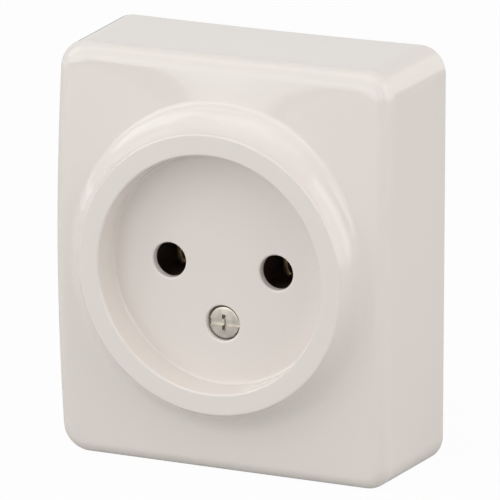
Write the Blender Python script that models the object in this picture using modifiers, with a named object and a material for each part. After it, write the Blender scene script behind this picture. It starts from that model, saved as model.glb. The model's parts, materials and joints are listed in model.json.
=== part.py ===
"""Single surface-mounted two-pole wall socket, built as its separate pieces.

Units are metres. In the world +Z is up, the front faces -Y and the wall is the plane y = 0.
Every piece is modelled lying on its back: local X is to the right, local Y is up the wall and
local Z is the height above the wall. One empty then stands the whole socket upright.
"""

import math

import bmesh
import bpy

MM = 0.001
MERGE = 0.00001
GAP = 0.3 * MM
OVERRUN = 1.0 * MM

# Cover moulding: a box with a crowned front and a raised collar round a plug recess.
COVER_SIDE_MARGIN = 6.8 * MM
COVER_HEIGHT = 69.8 * MM
COVER_EDGE_DEPTH = 21.2 * MM
COVER_CROWN = 1.73 * MM
COVER_CORNER_R = 4.5 * MM
COVER_EDGE_R = 2.0 * MM
COVER_WALL = 2.0 * MM
COVER_DRAFT_SIDES = 0.7 * MM
COVER_DRAFT_ENDS = 0.24 * MM
COVER_SIDE_SWELL = 0.28 * MM
COVER_END_BOW = 0.25 * MM
COVER_INNER_R = 1.0 * MM

RECESS_R = 20.1 * MM
RECESS_DEPTH = 5.7 * MM
RECESS_DRAFT = 0.3 * MM
RECESS_FILLET = 2.5 * MM
RECESS_FLOOR_T = 1.3 * MM
RECESS_BACKING = 1.6 * MM
COLLAR_WIDTH = 3.1 * MM
COLLAR_HEIGHT = 26.5 * MM
COLLAR_ROUND = 0.45 * MM
COLLAR_SKIRT = 0.95

# Plug and its holes.
PIN_SPACING = 19.0 * MM
PIN_DIAMETER = 4.8 * MM
PIN_HOLE_D = 5.8 * MM
HOLE_EASE = 0.35 * MM

# Cover screw and the bush that it threads into.
COVER_SCREW_DROP = 9.3 * MM
COVER_SCREW_HEAD_D = 5.3 * MM
COVER_SCREW_HEAD_H = 2.0 * MM
COVER_SCREW_SINK = 0.4 * MM
COVER_SCREW_D = 3.0 * MM
COVER_SCREW_LENGTH = 9.5 * MM
COVER_SCREW_DOME = 0.3 * MM
DRIVE_SLOT_W = 0.95 * MM
DRIVE_SLOT_DEPTH = 0.9 * MM
DRIVE_CROSS_SPAN = 3.4 * MM
DRIVE_CROSS_W = 0.8 * MM
BUSH_D = 5.0 * MM
BUSH_LENGTH = 7.7 * MM
BUSH_GROOVE = 0.4 * MM
BOSS_WALL = 1.0 * MM
BOSS_FLOOR_T = 1.5 * MM

# Cover ribs that press on the base, and the thinned cable knock-outs.
RIB_T = 1.4 * MM
RIB_REACH = 3.2 * MM
RIB_OFFSET_SIDE = 22.0 * MM
RIB_OFFSET_END = 15.0 * MM
KNOCKOUT_W = 14.0 * MM
KNOCKOUT_DEPTH = 9.0 * MM
KNOCKOUT_SKIN = 0.8 * MM

# Insulating back plate and moulded base.
BACK_PLATE_T = 1.2 * MM
BASE_PLATE_T = 3.0 * MM
BASE_CLEARANCE = 0.35 * MM
BASE_CORNER_R = 3.0 * MM
NOTCH_DEPTH = 3.6 * MM
FIXING_INSET = 10.9 * MM
FIXING_SLOT_W = 4.6 * MM
FIXING_SLOT_LENGTH = 7.6 * MM
FIXING_RECESS_MARGIN = 2.2 * MM
FIXING_RECESS_DEPTH = 1.2 * MM
CABLE_HOLE_D = 10.0 * MM
CABLE_HOLE_INSET = 16.0 * MM
CABLE_HOLE_DROP = 20.0 * MM
SEAT_HEIGHT = 6.6 * MM
CHAMBER_WALL = 1.5 * MM
CHAMBER_SLACK = 0.65 * MM
CHAMBER_CORNER_R = 0.8 * MM
PIN_WELL_MARGIN = 0.7 * MM
BARRIER_T = 1.6 * MM
BARRIER_STEP = 2.3 * MM

# Contacts: a brass strip folded to a tuning fork, with a tab for the terminal.
STRIP_T = 0.8 * MM
CONTACT_GAP = 4.3 * MM
CONTACT_H = 5.6 * MM
LEAF_BELOW = 3.1 * MM
LEAF_ABOVE = 4.0 * MM
BIGHT_H = 4.2 * MM
LIP_H = 1.2 * MM
LIP_FLARE = 0.8 * MM
LIP_CORNER = 0.5 * MM
TAB_W = 8.0 * MM
TAB_MARGIN = 0.4 * MM

# Steel clip that presses the leaves together.
CLIP_T = 0.5 * MM
CLIP_WIDTH = 2.8 * MM
CLIP_BELOW = 2.6 * MM

# Terminals, seen from the pin's axis up the wall.
RIVET_OFFSET = 10.8 * MM
RIVET_D = 2.4 * MM
RIVET_HEAD_D = 3.9 * MM
RIVET_HEAD_T = 0.5 * MM
RIVET_POCKET = 2.9 * MM
TERMINAL_OFFSET = 16.9 * MM
TERMINAL_SCREW_D = 4.0 * MM
TERMINAL_HEAD_D = 6.5 * MM
TERMINAL_HEAD_H = 2.2 * MM
TERMINAL_SLOT_W = 1.0 * MM
TERMINAL_SLOT_DEPTH = 1.1 * MM
CLAMP_SIZE = 7.8 * MM
CLAMP_T = 1.0 * MM
CLAMP_LIP = 0.7 * MM
SPRING_WASHER_W = 0.9 * MM
SPRING_WASHER_T = 0.9 * MM
SPRING_WASHER_RISE = 0.2 * MM
SPRING_WASHER_TURN = math.radians(342.0)
NUT_SIZE = 7.0 * MM
NUT_T = 2.4 * MM
NUT_POCKET = 3.6 * MM

# Eyelets that hold the back plate on the base.
EYELET_INSET = 8.5 * MM
EYELET_RISE = 6.0 * MM
EYELET_D = 3.0 * MM
EYELET_BORE_D = 1.8 * MM
EYELET_FLANGE_D = 4.8 * MM
EYELET_FLANGE_T = 0.4 * MM
EYELET_SINK = 0.15 * MM

# Smoothness of curves and rings.
SIDE_STEPS = 20
END_STEPS = 16
CORNER_STEPS = 6
EDGE_STEPS = 4
SKIRT_STEPS = 6
LIP_STEPS = 2
ROUND_STEPS = 32
HOLE_STEPS = 36
SMALL_STEPS = 20
BIGHT_STEPS = 12
SMOOTH_ANGLE = math.radians(30.0)

# The cover is as wide as its collar needs.
LIP_R = RECESS_R + COLLAR_WIDTH
COVER_WIDTH = 2 * (LIP_R + COVER_SIDE_MARGIN)

# Heights above the wall that follow from the sizes.
BASE_BACK = BACK_PLATE_T + GAP
BASE_FRONT = BASE_BACK + BASE_PLATE_T
FLOOR_FRONT = COLLAR_HEIGHT - RECESS_DEPTH
FLOOR_BACK = FLOOR_FRONT - RECESS_FLOOR_T
CHAMBER_FRONT = FLOOR_BACK - GAP
CONTACT_BACK = SEAT_HEIGHT + GAP
CONTACT_FRONT = CONTACT_BACK + CONTACT_H
TAB_FRONT = CONTACT_BACK + STRIP_T
SCREW_HEAD_FRONT = FLOOR_FRONT - COVER_SCREW_SINK
SCREW_HEAD_BACK = SCREW_HEAD_FRONT - COVER_SCREW_HEAD_H
SCREW_SHELF = SCREW_HEAD_BACK - GAP
COVER_BOSS_BACK = SCREW_SHELF - BOSS_FLOOR_T
BASE_BOSS_FRONT = COVER_BOSS_BACK - GAP
BARRIER_FRONT = BASE_BOSS_FRONT - BARRIER_STEP
BUSH_FRONT = BASE_BOSS_FRONT - GAP
BUSH_BACK = BUSH_FRONT - BUSH_LENGTH

# Plan sizes that follow.
PIN_X = PIN_SPACING / 2
SCREW_HOLE_R = COVER_SCREW_HEAD_D / 2 + GAP
COVER_BOSS_R = SCREW_HOLE_R + BOSS_WALL
BASE_BOSS_R = BUSH_D / 2 + GAP + BOSS_WALL
LEAF_MID = CONTACT_GAP / 2 + STRIP_T / 2
CLIP_MID = CONTACT_GAP / 2 + STRIP_T + GAP + CLIP_T / 2
CHAMBER_HALF = CLIP_MID + CLIP_T / 2 + CHAMBER_SLACK
CHAMBER_BELOW = LEAF_BELOW + 2 * GAP
CHAMBER_ABOVE = LEAF_ABOVE + CLIP_MID + CLIP_T / 2 + CHAMBER_SLACK
TAB_END = TERMINAL_OFFSET + CLAMP_SIZE / 2 + TAB_MARGIN
SEAT_END = TAB_END + TAB_MARGIN
FIXING_Y = COVER_HEIGHT / 2 - FIXING_INSET
EYELET_X = COVER_WIDTH / 2 - EYELET_INSET
CABLE_HOLE_X = COVER_WIDTH / 2 - CABLE_HOLE_INSET
CLAMP_BACK = TAB_FRONT + GAP
CLAMP_FRONT = CLAMP_BACK + CLAMP_T
WASHER_BACK = CLAMP_FRONT + GAP
WASHER_FRONT = WASHER_BACK + SPRING_WASHER_T + SPRING_WASHER_RISE
TERMINAL_HEAD_BACK = WASHER_FRONT + GAP
NUT_FRONT = BASE_BACK + NUT_POCKET - GAP
NUT_BACK = NUT_FRONT - NUT_T


def clear_scene():
    for existing in list(bpy.data.objects):
        bpy.data.objects.remove(existing)


clear_scene()
PARTS = bpy.data.collections.new("single_wall_socket")
CUTTERS = bpy.data.collections.new("cutters")
bpy.context.scene.collection.children.link(PARTS)
bpy.context.scene.collection.children.link(CUTTERS)

WALL_FRAME = bpy.data.objects.new("wall_frame", None)
WALL_FRAME.rotation_euler = (math.pi / 2, 0.0, 0.0)
PARTS.objects.link(WALL_FRAME)


def finish(name, colour, roughness, metallic):
    made = bpy.data.materials.new(name)
    made.use_nodes = True
    shader = made.node_tree.nodes["Principled BSDF"]
    shader.inputs["Base Color"].default_value = (*colour, 1.0)
    shader.inputs["Roughness"].default_value = roughness
    shader.inputs["Metallic"].default_value = metallic
    return made


def link_mesh(name, bm, collection=CUTTERS, location=(0.0, 0.0, 0.0), smooth=True):
    """Makes an object of a bmesh and hangs it on the wall frame."""
    mesh = bpy.data.meshes.new(name)
    bm.to_mesh(mesh)
    bm.free()
    made = bpy.data.objects.new(name, mesh)
    made.location = location
    made.parent = WALL_FRAME
    collection.objects.link(made)
    if collection is CUTTERS:
        made.hide_render = True
        made.display_type = "WIRE"
    elif smooth:
        mesh.shade_smooth()
        mesh.set_sharp_from_angle(angle=SMOOTH_ANGLE)
    return made


def boolean(target, operand, operation):
    modifier = target.modifiers.new(operand.name, "BOOLEAN")
    modifier.operation = operation
    modifier.solver = "EXACT"
    modifier.object = operand


def join(target, *operands):
    for operand in operands:
        boolean(target, operand, "UNION")


def cut(target, *operands):
    for operand in operands:
        boolean(target, operand, "DIFFERENCE")


def block(name, x, y, z, radius=0.0, collection=CUTTERS):
    """A box between pairs of limits, with its upright edges rounded."""
    bm = bmesh.new()
    bmesh.ops.create_cube(bm, size=1.0)
    for vert in bm.verts:
        vert.co.x = x[0] if vert.co.x < 0 else x[1]
        vert.co.y = y[0] if vert.co.y < 0 else y[1]
        vert.co.z = z[0] if vert.co.z < 0 else z[1]
    if radius > 0.0:
        upright = [
            edge for edge in bm.edges
            if abs(edge.verts[0].co.z - edge.verts[1].co.z) > MERGE
        ]
        bmesh.ops.bevel(
            bm, geom=upright, offset=radius, offset_type="OFFSET", affect="EDGES",
            segments=5, profile=0.5, material=-1,
        )
    return link_mesh(name, bm, collection, smooth=False)


def turned(name, profile, steps, location=(0.0, 0.0, 0.0), collection=CUTTERS):
    """A turned piece: its profile (radius, height) runs from the front down to the back."""
    bm = bmesh.new()
    points = [bm.verts.new((radius, 0.0, height)) for radius, height in profile]
    for upper, lower in zip(points, points[1:]):
        bm.edges.new((upper, lower))
    if profile[0][0] > 0.0:
        bm.edges.new((points[-1], points[0]))
    made = link_mesh(name, bm, collection, location)
    screw = made.modifiers.new("turn", "SCREW")
    screw.axis = "Z"
    screw.angle = 2 * math.pi
    screw.steps = steps
    screw.render_steps = steps
    screw.use_merge_vertices = True
    screw.merge_threshold = MERGE
    return made


def loft(name, rings, collection=CUTTERS):
    """A closed skin through rings of equal point counts, with both ends capped."""
    bm = bmesh.new()
    loops = [[bm.verts.new(point) for point in ring] for ring in rings]
    count = len(loops[0])
    for lower, upper in zip(loops, loops[1:]):
        for i in range(count):
            j = (i + 1) % count
            bm.faces.new((lower[i], lower[j], upper[j], upper[i]))
    bm.faces.new(loops[0][::-1])
    bm.faces.new(loops[-1])
    return link_mesh(name, bm, collection)


def folded_strip(name, rows, thickness, collection):
    """A bent strip about its mid-surface. A None in a row leaves that place open."""
    bm = bmesh.new()
    grid = [[bm.verts.new(point) if point else None for point in row] for row in rows]
    for lower, upper in zip(grid, grid[1:]):
        for i in range(len(lower) - 1):
            corners = (lower[i], lower[i + 1], upper[i + 1], upper[i])
            if None not in corners:
                bm.faces.new(corners)
    made = link_mesh(name, bm, collection)
    shell = made.modifiers.new("strip", "SOLIDIFY")
    shell.thickness = thickness
    shell.offset = 0.0
    shell.use_even_offset = True
    return made


def lerp(start, end, share):
    return start + (end - start) * share


def outline(half_w, half_h, radius):
    """A rounded rectangle, anticlockwise from the lower end of its right side."""
    flat_x = half_w - radius
    flat_y = half_h - radius
    corners = [(flat_x, flat_y), (-flat_x, flat_y), (-flat_x, -flat_y), (flat_x, -flat_y)]
    sides = [SIDE_STEPS, END_STEPS, SIDE_STEPS, END_STEPS]
    points = []
    for index, (corner_x, corner_y) in enumerate(corners):
        turn = index * math.pi / 2
        last_x, last_y = corners[index - 1]
        start = (last_x + radius * math.cos(turn), last_y + radius * math.sin(turn))
        end = (corner_x + radius * math.cos(turn), corner_y + radius * math.sin(turn))
        for step in range(sides[index]):
            share = step / sides[index]
            points.append((lerp(start[0], end[0], share), lerp(start[1], end[1], share)))
        for step in range(CORNER_STEPS):
            angle = turn + math.pi / 2 * step / CORNER_STEPS
            points.append((corner_x + radius * math.cos(angle), corner_y + radius * math.sin(angle)))
    return points


def cover_section(share, inset):
    """The cover's plan section at a share of its edge depth, moved inwards by the inset."""
    half_w = COVER_WIDTH / 2 - COVER_DRAFT_SIDES * share
    half_h = COVER_HEIGHT / 2 - COVER_DRAFT_ENDS * share
    swell = COVER_SIDE_SWELL * share
    bow = COVER_END_BOW * (1.0 - share)
    points = outline(half_w - inset, half_h - inset, COVER_CORNER_R - inset)
    return [
        (
            x + swell * (x / half_w) * (1.0 - (y / half_h) ** 2),
            y - bow * (y / half_h) * (1.0 - (x / half_w) ** 2),
        )
        for x, y in points
    ]


def crown_height(y):
    """The crowned front's height above the wall."""
    half_h = COVER_HEIGHT / 2 - COVER_DRAFT_ENDS
    return COVER_EDGE_DEPTH + COVER_CROWN * (1.0 - (y / half_h) ** 2)


RING_ANGLES = [math.atan2(y, x) for x, y in cover_section(0.0, 0.0)]


def circle(radius):
    return [(radius * math.cos(angle), radius * math.sin(angle)) for angle in RING_ANGLES]


def at_height(plan, height):
    return [(x, y, height) for x, y in plan]


def on_crown(plan, drop):
    return [(x, y, crown_height(y) - drop) for x, y in plan]


def quarter(steps, first=0):
    """Angles of a quarter turn, from the first step to the last."""
    return [math.pi / 2 * step / steps for step in range(first, steps + 1)]


def between(first, second, share):
    return [(lerp(a[0], b[0], share), lerp(a[1], b[1], share)) for a, b in zip(first, second)]


def skirt_foot(rim_plan):
    """Where the collar's concave skirt runs out on the face: about as far out as it is tall there."""
    foot = []
    for angle, (rim_x, rim_y) in zip(RING_ANGLES, rim_plan):
        tall = COLLAR_HEIGHT - COLLAR_ROUND - crown_height(LIP_R * math.sin(angle))
        room = math.hypot(rim_x, rim_y) - LIP_R
        radius = LIP_R + min(COLLAR_SKIRT * (tall + COLLAR_ROUND), room * COLLAR_SKIRT)
        foot.append((radius * math.cos(angle), radius * math.sin(angle)))
    return foot


def cover_outer_rings():
    """The visible skin: up the sides, over the crowned face and the collar, into the recess."""
    rings = [at_height(cover_section(0.0, 0.0), 0.0)]
    for angle in quarter(EDGE_STEPS):
        inset = COVER_EDGE_R * (1.0 - math.cos(angle))
        drop = COVER_EDGE_R * (1.0 - math.sin(angle))
        rings.append(on_crown(cover_section(1.0, inset), drop))
    rim_plan = cover_section(1.0, COVER_EDGE_R)
    foot = skirt_foot(rim_plan)
    lip = circle(LIP_R)
    rings.append(on_crown(between(rim_plan, foot, 0.5), 0.0))
    wall_top = COLLAR_HEIGHT - COLLAR_ROUND
    for angle in quarter(SKIRT_STEPS):
        plan = between(foot, lip, math.sin(angle))
        rise = 1.0 - math.cos(angle)
        rings.append([(x, y, lerp(crown_height(y), wall_top, rise)) for x, y in plan])
    for angle in quarter(LIP_STEPS, 1):
        radius = LIP_R - COLLAR_ROUND * (1.0 - math.cos(angle))
        rings.append(at_height(circle(radius), wall_top + COLLAR_ROUND * math.sin(angle)))
    for angle in quarter(LIP_STEPS):
        radius = RECESS_R + COLLAR_ROUND * (1.0 - math.sin(angle))
        rings.append(at_height(circle(radius), wall_top + COLLAR_ROUND * math.cos(angle)))
    foot_r = RECESS_R - RECESS_DRAFT
    for angle in quarter(EDGE_STEPS):
        radius = foot_r - RECESS_FILLET * (1.0 - math.cos(angle))
        rings.append(at_height(circle(radius), FLOOR_FRONT + RECESS_FILLET * (1.0 - math.sin(angle))))
    return rings


def cover_cavity_rings():
    """The hollow behind the cover, with the back of the recess floor standing into it."""
    rings = [at_height(cover_section(0.0, COVER_WALL), -OVERRUN)]
    for angle in quarter(LIP_STEPS):
        inset = COVER_WALL + COVER_INNER_R * (1.0 - math.cos(angle))
        drop = COVER_WALL + COVER_INNER_R * (1.0 - math.sin(angle))
        rings.append(on_crown(cover_section(1.0, inset), drop))
    backing = circle(RECESS_R + RECESS_BACKING)
    rings.append(on_crown(backing, COVER_WALL))
    rings.append(at_height(circle(RECESS_R + RECESS_BACKING - RECESS_DRAFT), FLOOR_BACK))
    return rings


def eased_hole(name, x, y, radius, deeper):
    """A hole through the recess floor with an eased front edge. deeper continues its profile."""
    top = FLOOR_FRONT + OVERRUN
    profile = [
        (0.0, top),
        (radius + HOLE_EASE + OVERRUN, top),
        (radius, FLOOR_FRONT - HOLE_EASE),
        *deeper,
    ]
    return turned(name, profile, HOLE_STEPS, (x, y, 0.0))


def cavity_half_sizes(height):
    """Half width and half height of the cover's hollow at a height above the wall."""
    share = height / COVER_EDGE_DEPTH
    half_w = COVER_WIDTH / 2 - COVER_DRAFT_SIDES * share - COVER_WALL
    half_h = COVER_HEIGHT / 2 - COVER_DRAFT_ENDS * share - COVER_END_BOW - COVER_WALL
    return half_w, half_h


def make_cover(material):
    cover = loft("cover", cover_outer_rings(), PARTS)
    cut(cover, loft("cover_cavity", cover_cavity_rings()))
    boss_top = FLOOR_FRONT - RECESS_FLOOR_T / 2
    boss_profile = [
        (0.0, boss_top), (COVER_BOSS_R, boss_top),
        (COVER_BOSS_R, COVER_BOSS_BACK), (0.0, COVER_BOSS_BACK),
    ]
    join(cover, turned("cover_boss", boss_profile, HOLE_STEPS, (0.0, -COVER_SCREW_DROP, 0.0)))
    half_w, half_h = cavity_half_sizes(BASE_FRONT)
    rib_back = BASE_FRONT + GAP
    rib_front = COVER_EDGE_DEPTH - COVER_WALL / 2
    bite = COVER_WALL / 2
    for side in (-1, 1):
        for end in (-1, 1):
            label = f"{'left' if side < 0 else 'right'}_{'lower' if end < 0 else 'upper'}"
            x_span = sorted((side * (half_w - RIB_REACH), side * (half_w + bite)))
            y_mid = end * RIB_OFFSET_SIDE
            y_span = (y_mid - RIB_T / 2, y_mid + RIB_T / 2)
            join(cover, block(f"side_rib_{label}", x_span, y_span, (rib_back, rib_front)))
            y_span = sorted((end * (half_h - RIB_REACH), end * (half_h + bite)))
            x_mid = side * RIB_OFFSET_END
            x_span = (x_mid - RIB_T / 2, x_mid + RIB_T / 2)
            join(cover, block(f"end_rib_{label}", x_span, y_span, (rib_back, rib_front)))
    for end in (-1, 1):
        skin = COVER_HEIGHT / 2 - COVER_END_BOW - KNOCKOUT_SKIN
        y_span = sorted((end * (half_h - OVERRUN), end * skin))
        x_span = (-KNOCKOUT_W / 2, KNOCKOUT_W / 2)
        label = "lower" if end < 0 else "upper"
        cut(cover, block(f"knockout_{label}", x_span, y_span, (-OVERRUN, KNOCKOUT_DEPTH)))
    for side in (-1, 1):
        hole_r = PIN_HOLE_D / 2
        below = FLOOR_BACK - OVERRUN
        deeper = [(hole_r, below), (0.0, below)]
        cut(cover, eased_hole(f"pin_hole_{side}", side * PIN_X, 0.0, hole_r, deeper))
    shank_r = COVER_SCREW_D / 2 + GAP
    below = COVER_BOSS_BACK - OVERRUN
    deeper = [(SCREW_HOLE_R, SCREW_SHELF), (shank_r, SCREW_SHELF), (shank_r, below), (0.0, below)]
    cut(cover, eased_hole("cover_screw_hole", 0.0, -COVER_SCREW_DROP, SCREW_HOLE_R, deeper))
    shading = cover.modifiers.new("even_shading", "WEIGHTED_NORMAL")
    shading.keep_sharp = True
    cover.data.materials.append(material)


def make_cover_screw(material):
    head_r = COVER_SCREW_HEAD_D / 2
    shank_r = COVER_SCREW_D / 2
    tip = SCREW_HEAD_BACK - COVER_SCREW_LENGTH
    profile = [
        (0.0, SCREW_HEAD_FRONT),
        (head_r - COVER_SCREW_DOME, SCREW_HEAD_FRONT - COVER_SCREW_DOME / 3),
        (head_r, SCREW_HEAD_FRONT - COVER_SCREW_DOME),
        (head_r, SCREW_HEAD_BACK),
        (shank_r, SCREW_HEAD_BACK),
        (shank_r, tip + shank_r / 3),
        (shank_r * 2 / 3, tip),
        (0.0, tip),
    ]
    place = (0.0, -COVER_SCREW_DROP, 0.0)
    screw = turned("cover_screw", profile, ROUND_STEPS, place, PARTS)
    slot_z = (SCREW_HEAD_FRONT - DRIVE_SLOT_DEPTH, SCREW_HEAD_FRONT + OVERRUN)
    slot = block(
        "cover_screw_slot", (-head_r - OVERRUN, head_r + OVERRUN),
        (-COVER_SCREW_DROP - DRIVE_SLOT_W / 2, -COVER_SCREW_DROP + DRIVE_SLOT_W / 2), slot_z,
    )
    cross = block(
        "cover_screw_cross", (-DRIVE_CROSS_W / 2, DRIVE_CROSS_W / 2),
        (-COVER_SCREW_DROP - DRIVE_CROSS_SPAN / 2, -COVER_SCREW_DROP + DRIVE_CROSS_SPAN / 2), slot_z,
    )
    cut(screw, slot, cross)
    screw.data.materials.append(material)


def make_cover_bush(material):
    """The threaded brass bush in the base, with a groove that the moulding grips."""
    outer = BUSH_D / 2
    inner = COVER_SCREW_D / 2 + GAP
    middle = (BUSH_FRONT + BUSH_BACK) / 2
    profile = [
        (inner, BUSH_FRONT),
        (outer, BUSH_FRONT),
        (outer, middle + BUSH_GROOVE),
        (outer - BUSH_GROOVE, middle + BUSH_GROOVE),
        (outer - BUSH_GROOVE, middle - BUSH_GROOVE),
        (outer, middle - BUSH_GROOVE),
        (outer, BUSH_BACK),
        (inner, BUSH_BACK),
    ]
    bush = turned("cover_screw_bush", profile, SMALL_STEPS, (0.0, -COVER_SCREW_DROP, 0.0), PARTS)
    bush.data.materials.append(material)


def plate_cutters(prefix, back, front):
    """What goes through both the base and the back plate: slots, cable holes and notches."""
    half_w, half_h = cavity_half_sizes(BASE_FRONT)
    through = (back - OVERRUN, front + OVERRUN)
    cutters = []
    slots = [(FIXING_SLOT_LENGTH, FIXING_SLOT_W, 1), (FIXING_SLOT_W, FIXING_SLOT_LENGTH, -1)]
    for size_x, size_y, end in slots:
        x_span = (-size_x / 2, size_x / 2)
        y_span = (end * FIXING_Y - size_y / 2, end * FIXING_Y + size_y / 2)
        label = "lower" if end < 0 else "upper"
        round_end = FIXING_SLOT_W / 2 - MERGE
        cutters.append(block(f"{prefix}_fixing_{label}", x_span, y_span, through, round_end))
        notch_y = sorted((end * (half_h - NOTCH_DEPTH), end * (half_h + OVERRUN)))
        notch_x = (-KNOCKOUT_W / 2, KNOCKOUT_W / 2)
        cutters.append(block(f"{prefix}_notch_{label}", notch_x, notch_y, through))
    radius = CABLE_HOLE_D / 2
    for side in (-1, 1):
        profile = [(0.0, through[1]), (radius, through[1]), (radius, through[0]), (0.0, through[0])]
        place = (side * CABLE_HOLE_X, -CABLE_HOLE_DROP, 0.0)
        cutters.append(turned(f"{prefix}_cable_hole_{side}", profile, HOLE_STEPS, place))
    return cutters


def make_back_plate(material):
    half_w, half_h = cavity_half_sizes(BASE_FRONT)
    x_span = (BASE_CLEARANCE - half_w, half_w - BASE_CLEARANCE)
    y_span = (BASE_CLEARANCE - half_h, half_h - BASE_CLEARANCE)
    plate = block("back_plate", x_span, y_span, (0.0, BACK_PLATE_T), BASE_CORNER_R, PARTS)
    cut(plate, *plate_cutters("back_plate", 0.0, BACK_PLATE_T))
    shank_r = EYELET_D / 2 + GAP
    flange_r = EYELET_FLANGE_D / 2 + GAP
    shelf = EYELET_SINK + EYELET_FLANGE_T + GAP
    for side in (-1, 1):
        profile = [
            (0.0, BACK_PLATE_T + OVERRUN), (shank_r, BACK_PLATE_T + OVERRUN), (shank_r, shelf),
            (flange_r, shelf), (flange_r, -OVERRUN), (0.0, -OVERRUN),
        ]
        place = (side * EYELET_X, EYELET_RISE, 0.0)
        cut(plate, turned(f"back_plate_eyelet_hole_{side}", profile, SMALL_STEPS, place))
    plate.data.materials.append(material)


def straight_hole(name, x, y, radius, back, front):
    profile = [(0.0, front), (radius, front), (radius, back), (0.0, back)]
    return turned(name, profile, SMALL_STEPS, (x, y, 0.0))


def make_base(material):
    """The moulded base: a plate, two contact chambers with their seats, a boss and a barrier."""
    half_w, half_h = cavity_half_sizes(BASE_FRONT)
    x_span = (BASE_CLEARANCE - half_w, half_w - BASE_CLEARANCE)
    y_span = (BASE_CLEARANCE - half_h, half_h - BASE_CLEARANCE)
    base = block("base", x_span, y_span, (BASE_BACK, BASE_FRONT), BASE_CORNER_R, PARTS)
    inside = BASE_BACK + BASE_PLATE_T / 2
    outer = CHAMBER_HALF + CHAMBER_WALL
    low = -CHAMBER_BELOW - CHAMBER_WALL
    for side in (-1, 1):
        x = side * PIN_X
        seat_x = (x - outer, x + outer)
        join(base, block(f"seat_{side}", seat_x, (low, SEAT_END), (inside, SEAT_HEIGHT), CHAMBER_CORNER_R))
        walls = (SEAT_HEIGHT - OVERRUN, CHAMBER_FRONT)
        join(base, block(f"chamber_{side}", seat_x, (low, CHAMBER_ABOVE), walls, CHAMBER_CORNER_R))
    join(base, straight_hole("boss", 0.0, -COVER_SCREW_DROP, BASE_BOSS_R, inside, BASE_BOSS_FRONT))
    barrier_x = (-BARRIER_T / 2, BARRIER_T / 2)
    barrier_y = (-COVER_SCREW_DROP, SEAT_END)
    join(base, block("barrier", barrier_x, barrier_y, (inside, BARRIER_FRONT)))
    for side in (-1, 1):
        x = side * PIN_X
        inner_x = (x - CHAMBER_HALF, x + CHAMBER_HALF)
        inner_y = (-CHAMBER_BELOW, CHAMBER_ABOVE + OVERRUN)
        inner_z = (SEAT_HEIGHT, CHAMBER_FRONT + OVERRUN)
        cut(base, block(f"chamber_hollow_{side}", inner_x, inner_y, inner_z))
        below = BASE_BACK - OVERRUN
        above = SEAT_HEIGHT + OVERRUN
        well_r = PIN_DIAMETER / 2 + PIN_WELL_MARGIN
        cut(base, straight_hole(f"pin_well_{side}", x, 0.0, well_r, below, above))
        rivet_r = RIVET_D / 2 + GAP
        cut(base, straight_hole(f"rivet_hole_{side}", x, RIVET_OFFSET, rivet_r, below, above))
        pocket_r = RIVET_HEAD_D / 2 + GAP
        pocket_top = BASE_BACK + RIVET_POCKET
        cut(base, straight_hole(f"rivet_pocket_{side}", x, RIVET_OFFSET, pocket_r, below, pocket_top))
        screw_r = TERMINAL_SCREW_D / 2 + GAP
        cut(base, straight_hole(f"terminal_hole_{side}", x, TERMINAL_OFFSET, screw_r, below, above))
        reach = NUT_SIZE / 2 + GAP
        pocket_x = (x - reach, x + reach)
        pocket_y = (TERMINAL_OFFSET - reach, TERMINAL_OFFSET + reach)
        cut(base, block(f"nut_pocket_{side}", pocket_x, pocket_y, (below, BASE_BACK + NUT_POCKET)))
        eyelet_r = EYELET_D / 2 + GAP
        hole = straight_hole(
            f"eyelet_hole_{side}", side * EYELET_X, EYELET_RISE, eyelet_r, below, above,
        )
        cut(base, hole)
        recess = FIXING_SLOT_W / 2 + FIXING_RECESS_MARGIN
        recess_y = (side * FIXING_Y - recess, side * FIXING_Y + recess)
        recess_z = (BASE_FRONT - FIXING_RECESS_DEPTH, BASE_FRONT + OVERRUN)
        cut(base, block(f"fixing_recess_{side}", (-recess, recess), recess_y, recess_z, recess / 2))
    bush_r = BUSH_D / 2 + GAP
    bush_hole = straight_hole(
        "bush_hole", 0.0, -COVER_SCREW_DROP, bush_r, BUSH_BACK - GAP, BASE_BOSS_FRONT + OVERRUN,
    )
    cut(base, bush_hole, *plate_cutters("base", BASE_BACK, BASE_FRONT))
    base.data.materials.append(material)


def pin_dish(y):
    """How far a leaf is hollowed to seat round the pin."""
    room = (PIN_DIAMETER / 2) ** 2 - y ** 2
    if room <= 0.0:
        return 0.0
    return max(math.sqrt(room) - CONTACT_GAP / 2, 0.0)


def leaf_path():
    """The contact strip's mid-line seen from the front, round a pin at the origin."""
    groove = math.sqrt((PIN_DIAMETER / 2) ** 2 - (CONTACT_GAP / 2) ** 2)
    stations = [-LEAF_BELOW, -(LEAF_BELOW + groove) / 2, -groove, -groove / 2, 0.0, groove / 2, groove]
    leaf = [(LEAF_MID + pin_dish(y), y) for y in stations]
    bight = half_ring(LEAF_MID, BIGHT_STEPS)
    return leaf + bight + [(-x, y) for x, y in reversed(leaf)]


def half_ring(radius, steps):
    """The bend over the top of the leaves, from right to left."""
    angles = [math.pi * step / steps for step in range(steps + 1)]
    return [(radius * math.cos(angle), LEAF_ABOVE + radius * math.sin(angle)) for angle in angles]


def strip_row(path, height):
    return [(x, y, height) for x, y in path]


def lip_row(path, rise):
    """The leaves' flared front: it opens like a funnel round the pin and loses its corners."""
    row = []
    for x, y in path:
        if y > LEAF_ABOVE + MERGE:
            row.append(None)
            continue
        edge = min((y / LEAF_BELOW) ** 2, 1.0)
        push = LIP_FLARE * rise * rise * (1.0 - edge / 2)
        height = CONTACT_FRONT - LIP_H + (LIP_H - LIP_CORNER * edge) * rise
        row.append((x + math.copysign(push, x), y, height))
    return row


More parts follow.
